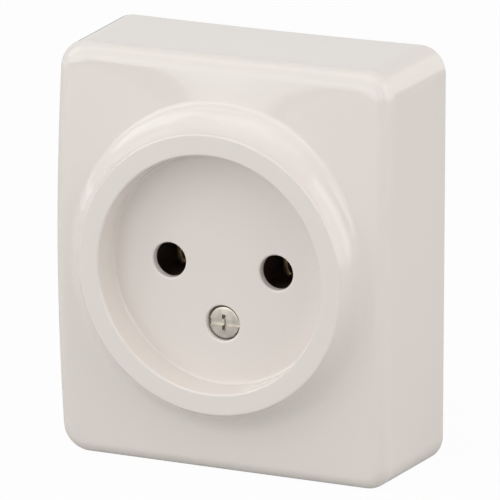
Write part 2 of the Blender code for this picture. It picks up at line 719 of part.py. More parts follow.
def make_contact(side, material):
    label = "left" if side < 0 else "right"
    path = leaf_path()
    rows = [strip_row(path, CONTACT_BACK), strip_row(path, CONTACT_BACK + BIGHT_H)]
    rows += [lip_row(path, rise) for rise in (0.0, 0.5, 1.0)]
    contact = folded_strip(f"contact_{label}", rows, STRIP_T, PARTS)
    contact.location = (side * PIN_X, 0.0, 0.0)
    x = side * PIN_X
    tab_x = (x - TAB_W / 2, x + TAB_W / 2)
    tab = block(
        f"tab_{label}", tab_x, (LEAF_ABOVE, TAB_END), (CONTACT_BACK, TAB_FRONT), CHAMBER_CORNER_R,
    )
    join(contact, tab)
    hole_back = CONTACT_BACK - OVERRUN
    hole_front = TAB_FRONT + OVERRUN
    screw_r = TERMINAL_SCREW_D / 2 + GAP
    rivet_r = RIVET_D / 2 + GAP
    cut(
        contact,
        straight_hole(f"tab_screw_hole_{label}", x, TERMINAL_OFFSET, screw_r, hole_back, hole_front),
        straight_hole(f"tab_rivet_hole_{label}", x, RIVET_OFFSET, rivet_r, hole_back, hole_front),
    )
    contact.data.materials.append(material)


def make_contact_clip(side, material):
    label = "left" if side < 0 else "right"
    path = [(CLIP_MID, -CLIP_BELOW), *half_ring(CLIP_MID, BIGHT_STEPS), (-CLIP_MID, -CLIP_BELOW)]
    back = TAB_FRONT + GAP
    rows = [strip_row(path, back), strip_row(path, back + CLIP_WIDTH)]
    clip = folded_strip(f"contact_clip_{label}", rows, CLIP_T, PARTS)
    clip.location = (side * PIN_X, 0.0, 0.0)
    clip.data.materials.append(material)


def make_contact_rivet(side, material):
    label = "left" if side < 0 else "right"
    head_r = RIVET_HEAD_D / 2
    shank_r = RIVET_D / 2
    head_back = TAB_FRONT + GAP
    flange_front = BASE_BACK + RIVET_POCKET - GAP
    flange_back = flange_front - RIVET_HEAD_T
    profile = [
        (0.0, head_back + RIVET_HEAD_T),
        (head_r * 2 / 3, head_back + RIVET_HEAD_T),
        (head_r, head_back + RIVET_HEAD_T / 2),
        (head_r, head_back),
        (shank_r, head_back),
        (shank_r, flange_front),
        (head_r, flange_front),
        (head_r, flange_back),
        (0.0, flange_back),
    ]
    place = (side * PIN_X, RIVET_OFFSET, 0.0)
    rivet = turned(f"contact_rivet_{label}", profile, SMALL_STEPS, place, PARTS)
    rivet.data.materials.append(material)


def make_clamp_plate(side, material):
    """The square clamp under the terminal screw, with two edges turned up to hold the strands."""
    label = "left" if side < 0 else "right"
    x = side * PIN_X
    reach = CLAMP_SIZE / 2
    x_span = (x - reach, x + reach)
    y_span = (TERMINAL_OFFSET - reach, TERMINAL_OFFSET + reach)
    plate = block(f"clamp_plate_{label}", x_span, y_span, (CLAMP_BACK, CLAMP_FRONT + CLAMP_LIP), 0.0, PARTS)
    trough_y = (TERMINAL_OFFSET - reach + CLAMP_T / 2, TERMINAL_OFFSET + reach - CLAMP_T / 2)
    trough_x = (x - reach - OVERRUN, x + reach + OVERRUN)
    trough = block(f"clamp_trough_{label}", trough_x, trough_y, (CLAMP_FRONT, CLAMP_FRONT + OVERRUN))
    hole_r = TERMINAL_SCREW_D / 2 + GAP
    hole = straight_hole(
        f"clamp_hole_{label}", x, TERMINAL_OFFSET, hole_r, CLAMP_BACK - OVERRUN, CLAMP_FRONT + OVERRUN,
    )
    cut(plate, trough, hole)
    plate.data.materials.append(material)


def make_spring_washer(side, material):
    """A split washer: a square-cut ring that stops short of a full turn and climbs a little."""
    label = "left" if side < 0 else "right"
    inner = TERMINAL_SCREW_D / 2 + GAP
    outer = inner + SPRING_WASHER_W
    bm = bmesh.new()
    back = WASHER_BACK
    front = WASHER_BACK + SPRING_WASHER_T
    section = [(inner, back), (outer, back), (outer, front), (inner, front)]
    steps = ROUND_STEPS
    rings = []
    for step in range(steps + 1):
        share = step / steps
        angle = SPRING_WASHER_TURN * share
        climb = SPRING_WASHER_RISE * share
        rings.append([
            bm.verts.new((radius * math.cos(angle), radius * math.sin(angle), height + climb))
            for radius, height in section
        ])
    for first, second in zip(rings, rings[1:]):
        for i in range(4):
            j = (i + 1) % 4
            bm.faces.new((first[i], first[j], second[j], second[i]))
    bm.faces.new(rings[0])
    bm.faces.new(rings[-1])
    bmesh.ops.recalc_face_normals(bm, faces=bm.faces)
    place = (side * PIN_X, TERMINAL_OFFSET, 0.0)
    washer = link_mesh(f"spring_washer_{label}", bm, PARTS, place)
    washer.data.materials.append(material)


def make_terminal_screw(side, material):
    label = "left" if side < 0 else "right"
    head_r = TERMINAL_HEAD_D / 2
    shank_r = TERMINAL_SCREW_D / 2
    head_front = TERMINAL_HEAD_BACK + TERMINAL_HEAD_H
    tip = NUT_BACK
    ease = TERMINAL_HEAD_H / 6
    profile = [
        (0.0, head_front),
        (head_r - ease, head_front),
        (head_r, head_front - ease),
        (head_r, TERMINAL_HEAD_BACK),
        (shank_r, TERMINAL_HEAD_BACK),
        (shank_r, tip + ease),
        (shank_r - ease, tip),
        (0.0, tip),
    ]
    x = side * PIN_X
    screw = turned(f"terminal_screw_{label}", profile, SMALL_STEPS, (x, TERMINAL_OFFSET, 0.0), PARTS)
    slot_x = (x - head_r - OVERRUN, x + head_r + OVERRUN)
    slot_y = (TERMINAL_OFFSET - TERMINAL_SLOT_W / 2, TERMINAL_OFFSET + TERMINAL_SLOT_W / 2)
    slot_z = (head_front - TERMINAL_SLOT_DEPTH, head_front + OVERRUN)
    cut(screw, block(f"terminal_slot_{label}", slot_x, slot_y, slot_z))
    screw.data.materials.append(material)


def make_terminal_nut(side, material):
    label = "left" if side < 0 else "right"
    x = side * PIN_X
    reach = NUT_SIZE / 2
    x_span = (x - reach, x + reach)
    y_span = (TERMINAL_OFFSET - reach, TERMINAL_OFFSET + reach)
    nut = block(f"terminal_nut_{label}", x_span, y_span, (NUT_BACK, NUT_FRONT), 0.0, PARTS)
    hole_r = TERMINAL_SCREW_D / 2 + GAP
    hole = straight_hole(
        f"nut_thread_{label}", x, TERMINAL_OFFSET, hole_r, NUT_BACK - OVERRUN, NUT_FRONT + OVERRUN,
    )
    cut(nut, hole)
    nut.data.materials.append(material)


def make_eyelet(side, material):
    """A hollow eyelet through the base plate and the back plate, rolled over at both ends."""
    label = "left" if side < 0 else "right"
    bore = EYELET_BORE_D / 2
    shank = EYELET_D / 2
    flange = EYELET_FLANGE_D / 2
    front_flange = BASE_FRONT + GAP
    back_flange = EYELET_SINK + EYELET_FLANGE_T
    profile = [
        (bore, front_flange + EYELET_FLANGE_T),
        (flange, front_flange + EYELET_FLANGE_T),
        (flange, front_flange),
        (shank, front_flange),
        (shank, back_flange),
        (flange, back_flange),
        (flange, EYELET_SINK),
        (bore, EYELET_SINK),
    ]
    place = (side * EYELET_X, EYELET_RISE, 0.0)
    eyelet = turned(f"back_plate_eyelet_{label}", profile, SMALL_STEPS, place, PARTS)
    eyelet.data.materials.append(material)


def main():
    ivory_plastic = finish("ivory_plastic", (0.72, 0.68, 0.65), 0.25, 0.0)
    phenolic = finish("phenolic", (0.035, 0.022, 0.016), 0.35, 0.0)
    fibre_board = finish("fibre_board", (0.09, 0.06, 0.045), 0.7, 0.0)
    brass = finish("brass", (0.62, 0.46, 0.20), 0.3, 1.0)
    zinc_steel = finish("zinc_steel", (0.62, 0.61, 0.58), 0.3, 1.0)
    spring_steel = finish("spring_steel", (0.25, 0.26, 0.28), 0.35, 1.0)
    make_cover(ivory_plastic)
    make_cover_screw(zinc_steel)
    make_cover_bush(brass)
    make_base(phenolic)
    make_back_plate(fibre_board)
    for side in (-1, 1):
        make_contact(side, brass)
        make_contact_clip(side, spring_steel)
        make_contact_rivet(side, brass)
        make_clamp_plate(side, zinc_steel)
        make_spring_washer(side, spring_steel)
        make_terminal_screw(side, zinc_steel)
        make_terminal_nut(side, zinc_steel)
        make_eyelet(side, brass)


main()
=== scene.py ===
"""Looks of the single wall socket: fine surfaces, finishes, studio light and camera.

Sizes are in metres. Forms are worked out lying on the wall: x to the right, up the wall, and the
height above it. The function stand() then gives the world's point, where the front faces -Y.
"""

import json
import math

import bmesh
import bpy
from mathutils import Matrix, Vector

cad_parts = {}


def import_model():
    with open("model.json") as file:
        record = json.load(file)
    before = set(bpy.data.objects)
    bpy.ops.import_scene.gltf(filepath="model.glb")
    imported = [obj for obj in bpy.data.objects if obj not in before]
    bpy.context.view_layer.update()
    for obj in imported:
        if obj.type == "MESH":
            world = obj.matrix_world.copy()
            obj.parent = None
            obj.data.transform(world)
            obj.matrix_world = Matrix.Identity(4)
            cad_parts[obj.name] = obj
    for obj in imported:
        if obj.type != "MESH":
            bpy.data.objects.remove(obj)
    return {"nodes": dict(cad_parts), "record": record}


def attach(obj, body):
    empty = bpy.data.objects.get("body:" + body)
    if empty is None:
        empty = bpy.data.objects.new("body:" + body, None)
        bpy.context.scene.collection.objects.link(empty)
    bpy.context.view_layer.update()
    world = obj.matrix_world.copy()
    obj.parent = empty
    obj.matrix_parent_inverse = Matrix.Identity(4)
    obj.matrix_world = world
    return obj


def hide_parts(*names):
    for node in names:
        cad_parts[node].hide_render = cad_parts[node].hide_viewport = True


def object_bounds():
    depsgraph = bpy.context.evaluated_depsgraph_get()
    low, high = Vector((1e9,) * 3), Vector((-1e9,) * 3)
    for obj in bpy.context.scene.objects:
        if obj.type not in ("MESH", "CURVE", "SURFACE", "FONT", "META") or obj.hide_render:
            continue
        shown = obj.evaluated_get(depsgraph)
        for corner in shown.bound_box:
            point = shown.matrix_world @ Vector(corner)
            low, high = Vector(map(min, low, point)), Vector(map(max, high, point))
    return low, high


MM = 0.001
OVERRUN = 1.0 * MM
WELD = 0.000001

# The cover's sizes, measured in the photograph and kept within the solids' box.
HALF_W = 30.0 * MM
HALF_H = 34.88 * MM
EDGE_DEPTH = 20.83 * MM
CROWN = 1.72 * MM
CORNER_R = 4.5 * MM
EDGE_R = 2.2 * MM
WALL = 2.0 * MM
DRAFT_SIDES = 0.7 * MM
DRAFT_ENDS = 0.24 * MM
SIDE_SWELL = 0.28 * MM
END_BOW = 0.25 * MM
INNER_R = 1.0 * MM
BACK_EASE = 0.25 * MM
RECESS_R = 19.73 * MM
RECESS_DEPTH = 5.33 * MM
RECESS_DRAFT = 0.3 * MM
RECESS_FILLET = 0.45 * MM
FLOOR_T = 1.38 * MM
BACKING = 1.6 * MM
LIP_R = 23.32 * MM
COLLAR_H = 26.21 * MM
COLLAR_DROP = 0.23 * MM
COLLAR_ROUND = 0.35 * MM
SKIRT = 0.95
SKIRT_TURN = math.radians(65.0)
SKIRT_ROOM = 3.8 * MM
FOOT_RISE = 0.205 * MM
FOOT_REACH = 6.4 * MM
PIN_X = 9.5 * MM
PIN_HOLE_R = 2.9 * MM
HOLE_EASE = 0.35 * MM
SCREW_DROP = 9.52 * MM
SCREW_HOLE_R = 2.95 * MM
SCREW_SHELF = 18.1 * MM
BOSS_R = 3.95 * MM
BOSS_BACK = 16.6 * MM
SHANK_HOLE_R = 1.8 * MM
RIB_T = 1.4 * MM
RIB_REACH = 3.2 * MM
RIB_BACK = 4.8 * MM
RIB_OFFSET_SIDE = 22.0 * MM
RIB_OFFSET_END = 15.0 * MM
KNOCKOUT_W = 14.0 * MM
KNOCKOUT_DEPTH = 9.0 * MM
KNOCKOUT_SKIN = 0.8 * MM
FLOOR_FRONT = COLLAR_H - RECESS_DEPTH
FLOOR_BACK = FLOOR_FRONT - FLOOR_T

# Where the cover's rings lie: shares of the way up the sides, over the face and across the floor.
SIDE_TOP_SHARE = 0.98
SIDE_TOP_DROP = 1.2 * EDGE_R
FACE_SHARES = (0.1, 0.25, 0.4, 0.55, 0.7, 0.85, 0.95)
FLOOR_SHARE = 0.98

# The cover screw.
HEAD_R = 2.65 * MM
HEAD_FRONT = 20.4 * MM
HEAD_BACK = 18.4 * MM
SHANK_R = 1.5 * MM
SHANK_TIP = 8.9 * MM
SLOT_W = 1.05 * MM
SLOT_DEPTH = 0.7 * MM
CROSS_SPAN = 3.9 * MM
CROSS_W = 0.85 * MM
CROSS_DEPTH = 1.0 * MM
CROSS_TAPER = 0.4
HEAD_DOME = 0.3 * MM
DOME_FLAT = 0.5
DOME_SAG = 0.08
DOME_START = 0.33
SHANK_POINT = 0.3 * MM
THREAD_PITCH = 0.5 * MM
THREAD_DEPTH = 0.28 * MM

# Each thread: its ridge's height and half its foot, as shares of the pitch.
RIDGE_HEIGHT = 0.55
RIDGE_HALF = 0.42

# Inner pieces: heights above the wall, and plan sizes.
PLATE_T = 1.2 * MM
PLATE_EASE = 0.12 * MM
BASE_BACK = 1.5 * MM
BASE_FRONT = 4.5 * MM
BASE_HALF_W = 27.5 * MM
BASE_HALF_H = 32.2 * MM
BASE_CORNER_R = 3.0 * MM
BASE_EASE = 0.35 * MM
BASE_HOLE_EASE = 0.2 * MM
SEAT_TOP = 6.6 * MM
CHAMBER_FRONT = 19.2 * MM
CHAMBER_HALF = 4.4 * MM
CHAMBER_BELOW = 3.7 * MM
CHAMBER_ABOVE = 8.4 * MM
CHAMBER_WALL = 1.5 * MM
CHAMBER_CORNER_R = 0.8 * MM
CHAMBER_EASE = 0.3 * MM
SEAT_STEP = 0.15 * MM
SEAT_END = 21.6 * MM
BASE_BOSS_R = 3.8 * MM
BASE_BOSS_FRONT = 16.3 * MM
BASE_BOSS_EASE = 0.3 * MM
BASE_BOSS_FLARE = 0.2 * MM
BARRIER_T = 1.6 * MM
BARRIER_FRONT = 14.0 * MM
BARRIER_EASE = 0.25 * MM
BUSH_R = 2.5 * MM
BUSH_BACK = 8.3 * MM
BUSH_FRONT = 16.0 * MM
BUSH_GROOVE = 0.4 * MM
BUSH_EASE = 0.2 * MM
NOTCH_DEPTH = 3.6 * MM
NOTCH_CORNER_R = 0.6 * MM
FIXING_UP = 24.0 * MM
FIXING_LONG = 7.6 * MM
FIXING_WIDE = 4.6 * MM
FIXING_RECESS = 4.5 * MM
CABLE_X = 14.0 * MM
CABLE_DROP = 20.0 * MM
CABLE_R = 5.0 * MM
EYELET_X = 21.5 * MM
EYELET_UP = 6.0 * MM
EYELET_R = 1.5 * MM
EYELET_BORE = 0.9 * MM
EYELET_FLANGE = 2.4 * MM
EYELET_T = 0.4 * MM
EYELET_SINK = 0.15 * MM
EYELET_MOUTH = 0.15 * MM
PIN_WELL_R = 3.1 * MM
STRIP_T = 1.0 * MM
STRIP_EASE = 0.4 * MM
LEAF_X = 2.25 * MM
LEAF_CURL = 0.75 * MM
LEAF_BELOW = 2.9 * MM
LEAF_ABOVE = 4.0 * MM
BIGHT_R = 2.55 * MM
BIGHT_FRONT = 11.1 * MM
LEAF_FRONT = 12.5 * MM
LEAF_CORNER = 0.5 * MM
LEAF_SLOPE_START = 0.7
TAB_BACK = 6.9 * MM
TAB_FRONT = 7.7 * MM
TAB_HALF = 4.0 * MM
TAB_END = 21.2 * MM
TAB_CORNER_R = 0.8 * MM
TAB_EASE = 0.12 * MM
PUNCH_EASE = 0.1 * MM
CLIP_T = 0.5 * MM
CLIP_R = 3.5 * MM
CLIP_BELOW = 2.6 * MM
CLIP_BACK = 8.0 * MM
CLIP_FRONT = 10.8 * MM
CLIP_PINCH = 0.45 * MM
CLIP_EASE = 0.12 * MM
RIVET_UP = 10.8 * MM
RIVET_R = 1.2 * MM
RIVET_HEAD_R = 1.95 * MM
RIVET_HEAD_T = 0.5 * MM
RIVET_BACK = 4.1 * MM
RIVET_EDGE = 0.3
RIVET_TAIL_EASE = 0.2 * MM
RIVET_POCKET = 2.9 * MM
TERMINAL_UP = 16.9 * MM
TERMINAL_R = 2.0 * MM
TERMINAL_HEAD_R = 3.25 * MM
TERMINAL_HEAD_BACK = 10.7 * MM
TERMINAL_HEAD_FRONT = 12.9 * MM
TERMINAL_SLOT_W = 1.0 * MM
TERMINAL_SLOT_DEPTH = 1.1 * MM
TERMINAL_PITCH = 0.7 * MM
TERMINAL_CROWN = 0.35 * MM
TERMINAL_POINT = 0.4 * MM
CLAMP_HALF = 3.9 * MM
CLAMP_BACK = 8.0 * MM
CLAMP_FRONT = 9.0 * MM
CLAMP_LIP = 0.7 * MM
CLAMP_EASE = 0.15 * MM
WASHER_BACK = 9.3 * MM
WASHER_T = 0.9 * MM
WASHER_W = 0.9 * MM
WASHER_RISE = 0.2 * MM
WASHER_TURN = math.radians(342.0)
WASHER_EASE = 0.12 * MM
NUT_HALF = 3.5 * MM
NUT_BACK = 2.4 * MM
NUT_FRONT = 4.8 * MM
NUT_CORNER_R = 0.4 * MM
NUT_EASE = 0.2 * MM
NUT_PLAY = 0.25 * MM
NUT_MOUTH = 0.4 * MM
NUT_THREAD = 0.3 * MM
SLACK = 0.3 * MM

# How finely the curves are drawn.
SIDE_STEPS = 76
END_STEPS = 64
CORNER_STEPS = 18
CIRCLE_STEPS = 96
HOLE_STEPS = 64
THREAD_STEPS = 24
THREAD_START = math.radians(1.7)
LEAF_STEPS = 12
BEND_STEPS = 24
SKIRT_STEPS = 18
EDGE_STEPS = 12
FILLET_STEPS = 10
SMALL_STEPS = 6
INNER_STEPS = 4
BACK_STEPS = 3
ROLL_STEPS = 8
CORNER_SEGMENTS = 8
EASE_SEGMENTS = 3
WASHER_SEGMENTS = 2

# Between these values of the noise a colour goes from its dark to its light shade.
NOISE_LOW = 0.3
NOISE_HIGH = 0.7

# Edges that turn by more than this are eased, and shading stays sharp over the other two.
EASE_ANGLE = math.radians(50.0)
SHARP_DEGREES = 32.0
STRIP_SHARP_DEGREES = 40.0

# The photograph's camera, and the studio round the socket.
CAMERA_TURN = math.radians(24.91)
CAMERA_LIFT = math.radians(15.14)
CAMERA_DISTANCE = 1.0485
CAMERA_TARGET = Vector((0.002151, -0.01495, 0.001553))
CAMERA_LENS = 467.1
CAMERA_SENSOR = 36.0
CAMERA_NEAR = 0.01
CAMERA_FAR = 50.0
OVERHEAD = 1.1
DOWNWARDS = Vector((0.0, 0.001, -1.0))
WORLD_LIGHT = 0.26
WARM_LIGHT = (1.0, 0.965, 0.93)
FLOOR_HALF = 6.0
FLOOR_GREY = 0.58
FLOOR_GLOW_SEEN = 0.97
FLOOR_GLOW_MIRRORED = 0.25


def stand(x, up, height):
    return Vector((x, -height, up))


def lerp(start, end, share):
    return start + (end - start) * share


def both(half, middle=0.0):
    """The two ends of a span round its middle."""
    return middle - half, middle + half


def quarter(steps, first=0):
    """The sine and cosine at each step through a quarter turn."""
    angles = [math.pi / 2 * step / steps for step in range(first, steps + 1)]
    return [(math.sin(angle), math.cos(angle)) for angle in angles]


def linked(name, data):
    made = bpy.data.objects.new(name, data)
    bpy.context.scene.collection.objects.link(made)
    return made


def new_object(name, bm, material=None):
    mesh = bpy.data.meshes.new(name)
    bm.to_mesh(mesh)
    bm.free()
    made = linked(name, mesh)
    if material:
        mesh.materials.append(material)
    return made


def around(bm, verts):
    """The edges of a closed row of vertices."""
    return [bm.edges.get(pair) for pair in zip(verts, verts[1:] + verts[:1])]


def loft(name, rings, material=None):
    """A closed skin through rings of (x, up, height) points: each ring is extruded from the last."""
    bm = bmesh.new()
    row = bmesh.ops.create_circle(bm, segments=len(rings[0]), radius=1.0)["verts"]
    for vert, point in zip(row, rings[0]):
        vert.co = stand(*point)
    bmesh.ops.edgeloop_fill(bm, edges=around(bm, row))
    for points in rings[1:]:
        grown = bmesh.ops.extrude_edge_only(bm, edges=around(bm, row))
        fresh = {item for item in grown["geom"] if isinstance(item, bmesh.types.BMVert)}
        row = [next(e.other_vert(v) for e in v.link_edges if e.other_vert(v) in fresh) for v in row]
        for vert, point in zip(row, points):
            vert.co = stand(*point)
    bmesh.ops.edgeloop_fill(bm, edges=around(bm, row))
    bmesh.ops.recalc_face_normals(bm, faces=bm.faces)
    return new_object(name, bm, material)


def turned(name, profile, x=0.0, up=0.0, steps=CIRCLE_STEPS, material=None):
    """Turns a profile of (radius, height) points round an axis that stands on the wall."""
    bm = bmesh.new()
    verts = [bm.verts.new(stand(x + radius, up, height)) for radius, height in profile]
    edges = [bm.edges.new(pair) for pair in zip(verts, verts[1:])]
    if profile[0][0] > 0.0:
        edges.append(bm.edges.new((verts[-1], verts[0])))
    bmesh.ops.spin(
        bm, geom=verts + edges, cent=stand(x, up, 0.0), axis=(0.0, 1.0, 0.0),
        angle=2 * math.pi, steps=steps, use_merge=True,
    )
    bmesh.ops.remove_doubles(bm, verts=bm.verts, dist=WELD)
    bmesh.ops.recalc_face_normals(bm, faces=bm.faces)
    return new_object(name, bm, material)


def block(name, x, up, height, radius=0.0, material=None, ease=0.0):
    """A box between two values each of x, up and height: upright corners rounded, rims eased."""
    low = stand(x[0], up[0], height[0])
    high = stand(x[1], up[1], height[1])
    place = Matrix.Translation((low + high) / 2) @ Matrix.Diagonal((*(high - low), 1.0))
    bm = bmesh.new()
    bmesh.ops.create_cube(bm, size=1.0, matrix=place)
    if radius > 0.0:
        edges = [e for e in bm.edges if abs(e.verts[0].co.y - e.verts[1].co.y) > WELD]
        bmesh.ops.bevel(
            bm, geom=edges, offset=radius, offset_type="OFFSET", affect="EDGES",
            segments=CORNER_SEGMENTS, profile=0.5, material=-1,
        )
    bmesh.ops.recalc_face_normals(bm, faces=bm.faces)
    if ease > 0.0:
        ease_edges(bm, ease, EASE_SEGMENTS)
    return new_object(name, bm, material)


def ease_edges(bm, width, segments):
    """Rounds every edge at which the surface turns sharply."""
    bm.normal_update()
    rims = [e for e in bm.edges if e.calc_face_angle(0.0) > EASE_ANGLE]
    bmesh.ops.bevel(
        bm, geom=rims, offset=width, offset_type="OFFSET", affect="EDGES",
        segments=segments, profile=0.5, material=-1,
    )


def boolean(target, operand, operation):
    modifier = target.modifiers.new(operand.name, "BOOLEAN")
    modifier.operation = operation
    modifier.solver = "EXACT"
    modifier.object = operand


def bake(piece, used=()):
    """Gives the piece the mesh that its modifiers make, and removes the cutters."""
    graph = bpy.context.evaluated_depsgraph_get()
    mesh = bpy.data.meshes.new_from_object(piece.evaluated_get(graph))
    bm = bmesh.new()
    bm.from_mesh(mesh)
    bmesh.ops.remove_doubles(bm, verts=bm.verts, dist=WELD)
    bmesh.ops.dissolve_degenerate(bm, dist=WELD, edges=bm.edges)
    bm.to_mesh(mesh)
    bm.free()
    piece.modifiers.clear()
    piece.data = mesh
    for cutter in used:
        bpy.data.objects.remove(cutter)
    return piece


def carve(piece, cutters, operation="DIFFERENCE"):
    """Cuts the other pieces out of this one, or joins them to it."""
    for cutter in cutters:
        boolean(piece, cutter, operation)
    return bake(piece, cutters)


def drilled(name, x, up, radius, back, front, ease=0.0):
    """A round hole to cut, a little wider at both mouths."""
    profile = [
        (0.0, front + OVERRUN), (radius + ease, front + OVERRUN), (radius + ease, front),
        (radius, front - ease), (radius, back + ease), (radius + ease, back),
        (radius + ease, back - OVERRUN), (0.0, back - OVERRUN),
    ]
    if ease == 0.0:
        profile = [(0.0, front), (radius, front), (radius, back), (0.0, back)]
    return turned(name, profile, x, up, HOLE_STEPS)


def thread_root(radius, pitch):
    """The shank's radius between the turns of its thread."""
    return radius - RIDGE_HEIGHT * pitch


def climbing(corners, x, up, rise, angle, steps):
    """Turns a closed section of (radius, height) corners by an angle, and lifts it at each step."""
    bm = bmesh.new()
    verts = [bm.verts.new(stand(x + radius, up, height)) for radius, height in corners]
    edges = [bm.edges.new((verts[i - 1], verts[i])) for i in range(len(verts))]
    bmesh.ops.spin(
        bm, geom=verts + edges, cent=stand(x, up, 0.0), axis=(0.0, 1.0, 0.0),
        dvec=(0.0, -rise, 0.0), angle=angle, steps=steps,
    )
    bmesh.ops.holes_fill(bm, edges=bm.edges, sides=len(corners))
    bmesh.ops.recalc_face_normals(bm, faces=bm.faces)
    return bm


def threaded(piece, x, up, radius, back, front, pitch):
    """Adds a ridge that climbs round a shank: a small triangle is spun and lifted at each step."""
    half = RIDGE_HALF * pitch
    steps = int((front - back - pitch) / pitch * THREAD_STEPS)
    start = back + pitch / 2
    sunk = thread_root(radius, pitch) - RIDGE_HEIGHT * pitch / 2
    corners = [(sunk, start - half), (radius, start), (sunk, start + half)]
    angle = 2 * math.pi * steps / THREAD_STEPS
    bm = climbing(corners, x, up, pitch / THREAD_STEPS, angle, steps)
    turn = Matrix.Rotation(THREAD_START, 3, "Y")
    bmesh.ops.rotate(bm, verts=bm.verts, cent=stand(x, up, 0.0), matrix=turn)
    return carve(piece, [new_object("thread_ridge", bm)], "UNION")


def placed(piece, node, degrees=SHARP_DEGREES):
    """Finishes a piece that stands for a node of the solids."""
    piece.data.shade_smooth()
    piece.data.set_sharp_from_angle(angle=math.radians(degrees))
    weighting = piece.modifiers.new("even_shading", "WEIGHTED_NORMAL")
    weighting.keep_sharp = True
    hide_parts(node)
    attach(piece, "root")
    return piece


# The cover.


def outline(half_w, half_h, radius):
    """A rectangle with rounded corners, walked round from its right side."""
    flat_x = half_w - radius
    flat_y = half_h - radius
    corners = [(flat_x, flat_y), (-flat_x, flat_y), (-flat_x, -flat_y), (flat_x, -flat_y)]
    sides = [SIDE_STEPS, END_STEPS, SIDE_STEPS, END_STEPS]
    points = []
    for index, (corner_x, corner_y) in enumerate(corners):
        turn = index * math.pi / 2
        last_x, last_y = corners[index - 1]
        start = (last_x + radius * math.cos(turn), last_y + radius * math.sin(turn))
        end = (corner_x + radius * math.cos(turn), corner_y + radius * math.sin(turn))
        for step in range(sides[index]):
            share = step / sides[index]
            points.append((lerp(start[0], end[0], share), lerp(start[1], end[1], share)))
        for step in range(CORNER_STEPS):
            angle = turn + math.pi / 2 * step / CORNER_STEPS
            points.append((corner_x + radius * math.cos(angle), corner_y + radius * math.sin(angle)))
    return points


def section(share, inset):
    """The cover's plan at a share of its depth: drafted, with swelling sides and bowed ends."""
    half_w = HALF_W - DRAFT_SIDES * share
    half_h = HALF_H - DRAFT_ENDS * share
    swell = SIDE_SWELL * share
    bow = END_BOW * (1.0 - share)
    return [
        (
            x + swell * (x / half_w) * (1.0 - (y / half_h) ** 2),
            y - bow * (y / half_h) * (1.0 - (x / half_w) ** 2),
        )
        for x, y in outline(half_w - inset, half_h - inset, CORNER_R - inset)
    ]


def crown_height(y):
    return EDGE_DEPTH + CROWN * (1.0 - (y / (HALF_H - DRAFT_ENDS)) ** 2)


def face_height(x, y):
    """The crowned face, with the last gentle rise towards the collar's skirt."""
    away = math.hypot(x, y + COLLAR_DROP) - LIP_R - SKIRT_ROOM
    return crown_height(y) + FOOT_RISE * math.exp(-max(away, 0.0) / FOOT_REACH)


RING_ANGLES = [math.atan2(y + COLLAR_DROP, x) for x, y in section(0.0, 0.0)]


def circle(radius):
    """A circle round the collar's axis, which lies a little below the pins."""
    return [(radius * math.cos(angle), radius * math.sin(angle) - COLLAR_DROP) for angle in RING_ANGLES]


def at_height(plan, height):
    return [(x, y, height) for x, y in plan]


def on_crown(plan, drop):
    return [(x, y, crown_height(y) - drop) for x, y in plan]


def on_face(plan, drop=0.0):
    return [(x, y, face_height(x, y) - drop) for x, y in plan]


def between(first, second, share):
    return [(lerp(a[0], b[0], share), lerp(a[1], b[1], share)) for a, b in zip(first, second)]


def skirt_foot(rim_plan):
    """Where the skirt leaves the face: as far out as it is tall, and never past the rim."""
    foot = []
    for angle, (rim_x, rim_y) in zip(RING_ANGLES, rim_plan):
        tall = COLLAR_H - crown_height(LIP_R * math.sin(angle) - COLLAR_DROP)
        room = math.hypot(rim_x, rim_y + COLLAR_DROP) - LIP_R
        radius = LIP_R + SKIRT * min(tall, room)
        foot.append((radius * math.cos(angle), radius * math.sin(angle) - COLLAR_DROP))
    return foot


def cover_outer_rings():
    rings = [at_height(section(0.0, BACK_EASE), 0.0)]
    for sine, cosine in quarter(BACK_STEPS, 1):
        inset = BACK_EASE * (1.0 - sine)
        rings.append(at_height(section(0.0, inset), BACK_EASE * (1.0 - cosine)))
    rings.append(on_face(section(SIDE_TOP_SHARE, 0.0), SIDE_TOP_DROP))
    for sine, cosine in quarter(EDGE_STEPS):
        inset = EDGE_R * (1.0 - cosine)
        rings.append(on_face(section(1.0, inset), EDGE_R * (1.0 - sine)))
    rim_plan = section(1.0, EDGE_R)
    foot = skirt_foot(rim_plan)
    lip = circle(LIP_R)
    for share in FACE_SHARES:
        rings.append(on_face(between(rim_plan, foot, share)))
    wall_top = COLLAR_H - COLLAR_ROUND
    for step in range(SKIRT_STEPS + 1):
        angle = SKIRT_TURN * step / SKIRT_STEPS
        plan = between(foot, lip, math.sin(angle) / math.sin(SKIRT_TURN))
        rise = (1.0 - math.cos(angle)) / (1.0 - math.cos(SKIRT_TURN))
        rings.append([(x, y, lerp(face_height(x, y), wall_top, rise)) for x, y in plan])
    for sine, cosine in quarter(SMALL_STEPS, 1):
        radius = LIP_R - COLLAR_ROUND * (1.0 - cosine)
        rings.append(at_height(circle(radius), wall_top + COLLAR_ROUND * sine))
    for sine, cosine in quarter(SMALL_STEPS):
        radius = RECESS_R + COLLAR_ROUND * (1.0 - sine)
        rings.append(at_height(circle(radius), wall_top + COLLAR_ROUND * cosine))
    foot_r = RECESS_R - RECESS_DRAFT
    for sine, cosine in quarter(FILLET_STEPS):
        radius = foot_r - RECESS_FILLET * (1.0 - cosine)
        height = FLOOR_FRONT + RECESS_FILLET * (1.0 - sine)
        rings.append(at_height(circle(radius), height))
    rings.append(at_height(circle((foot_r - RECESS_FILLET) * FLOOR_SHARE), FLOOR_FRONT))
    return rings


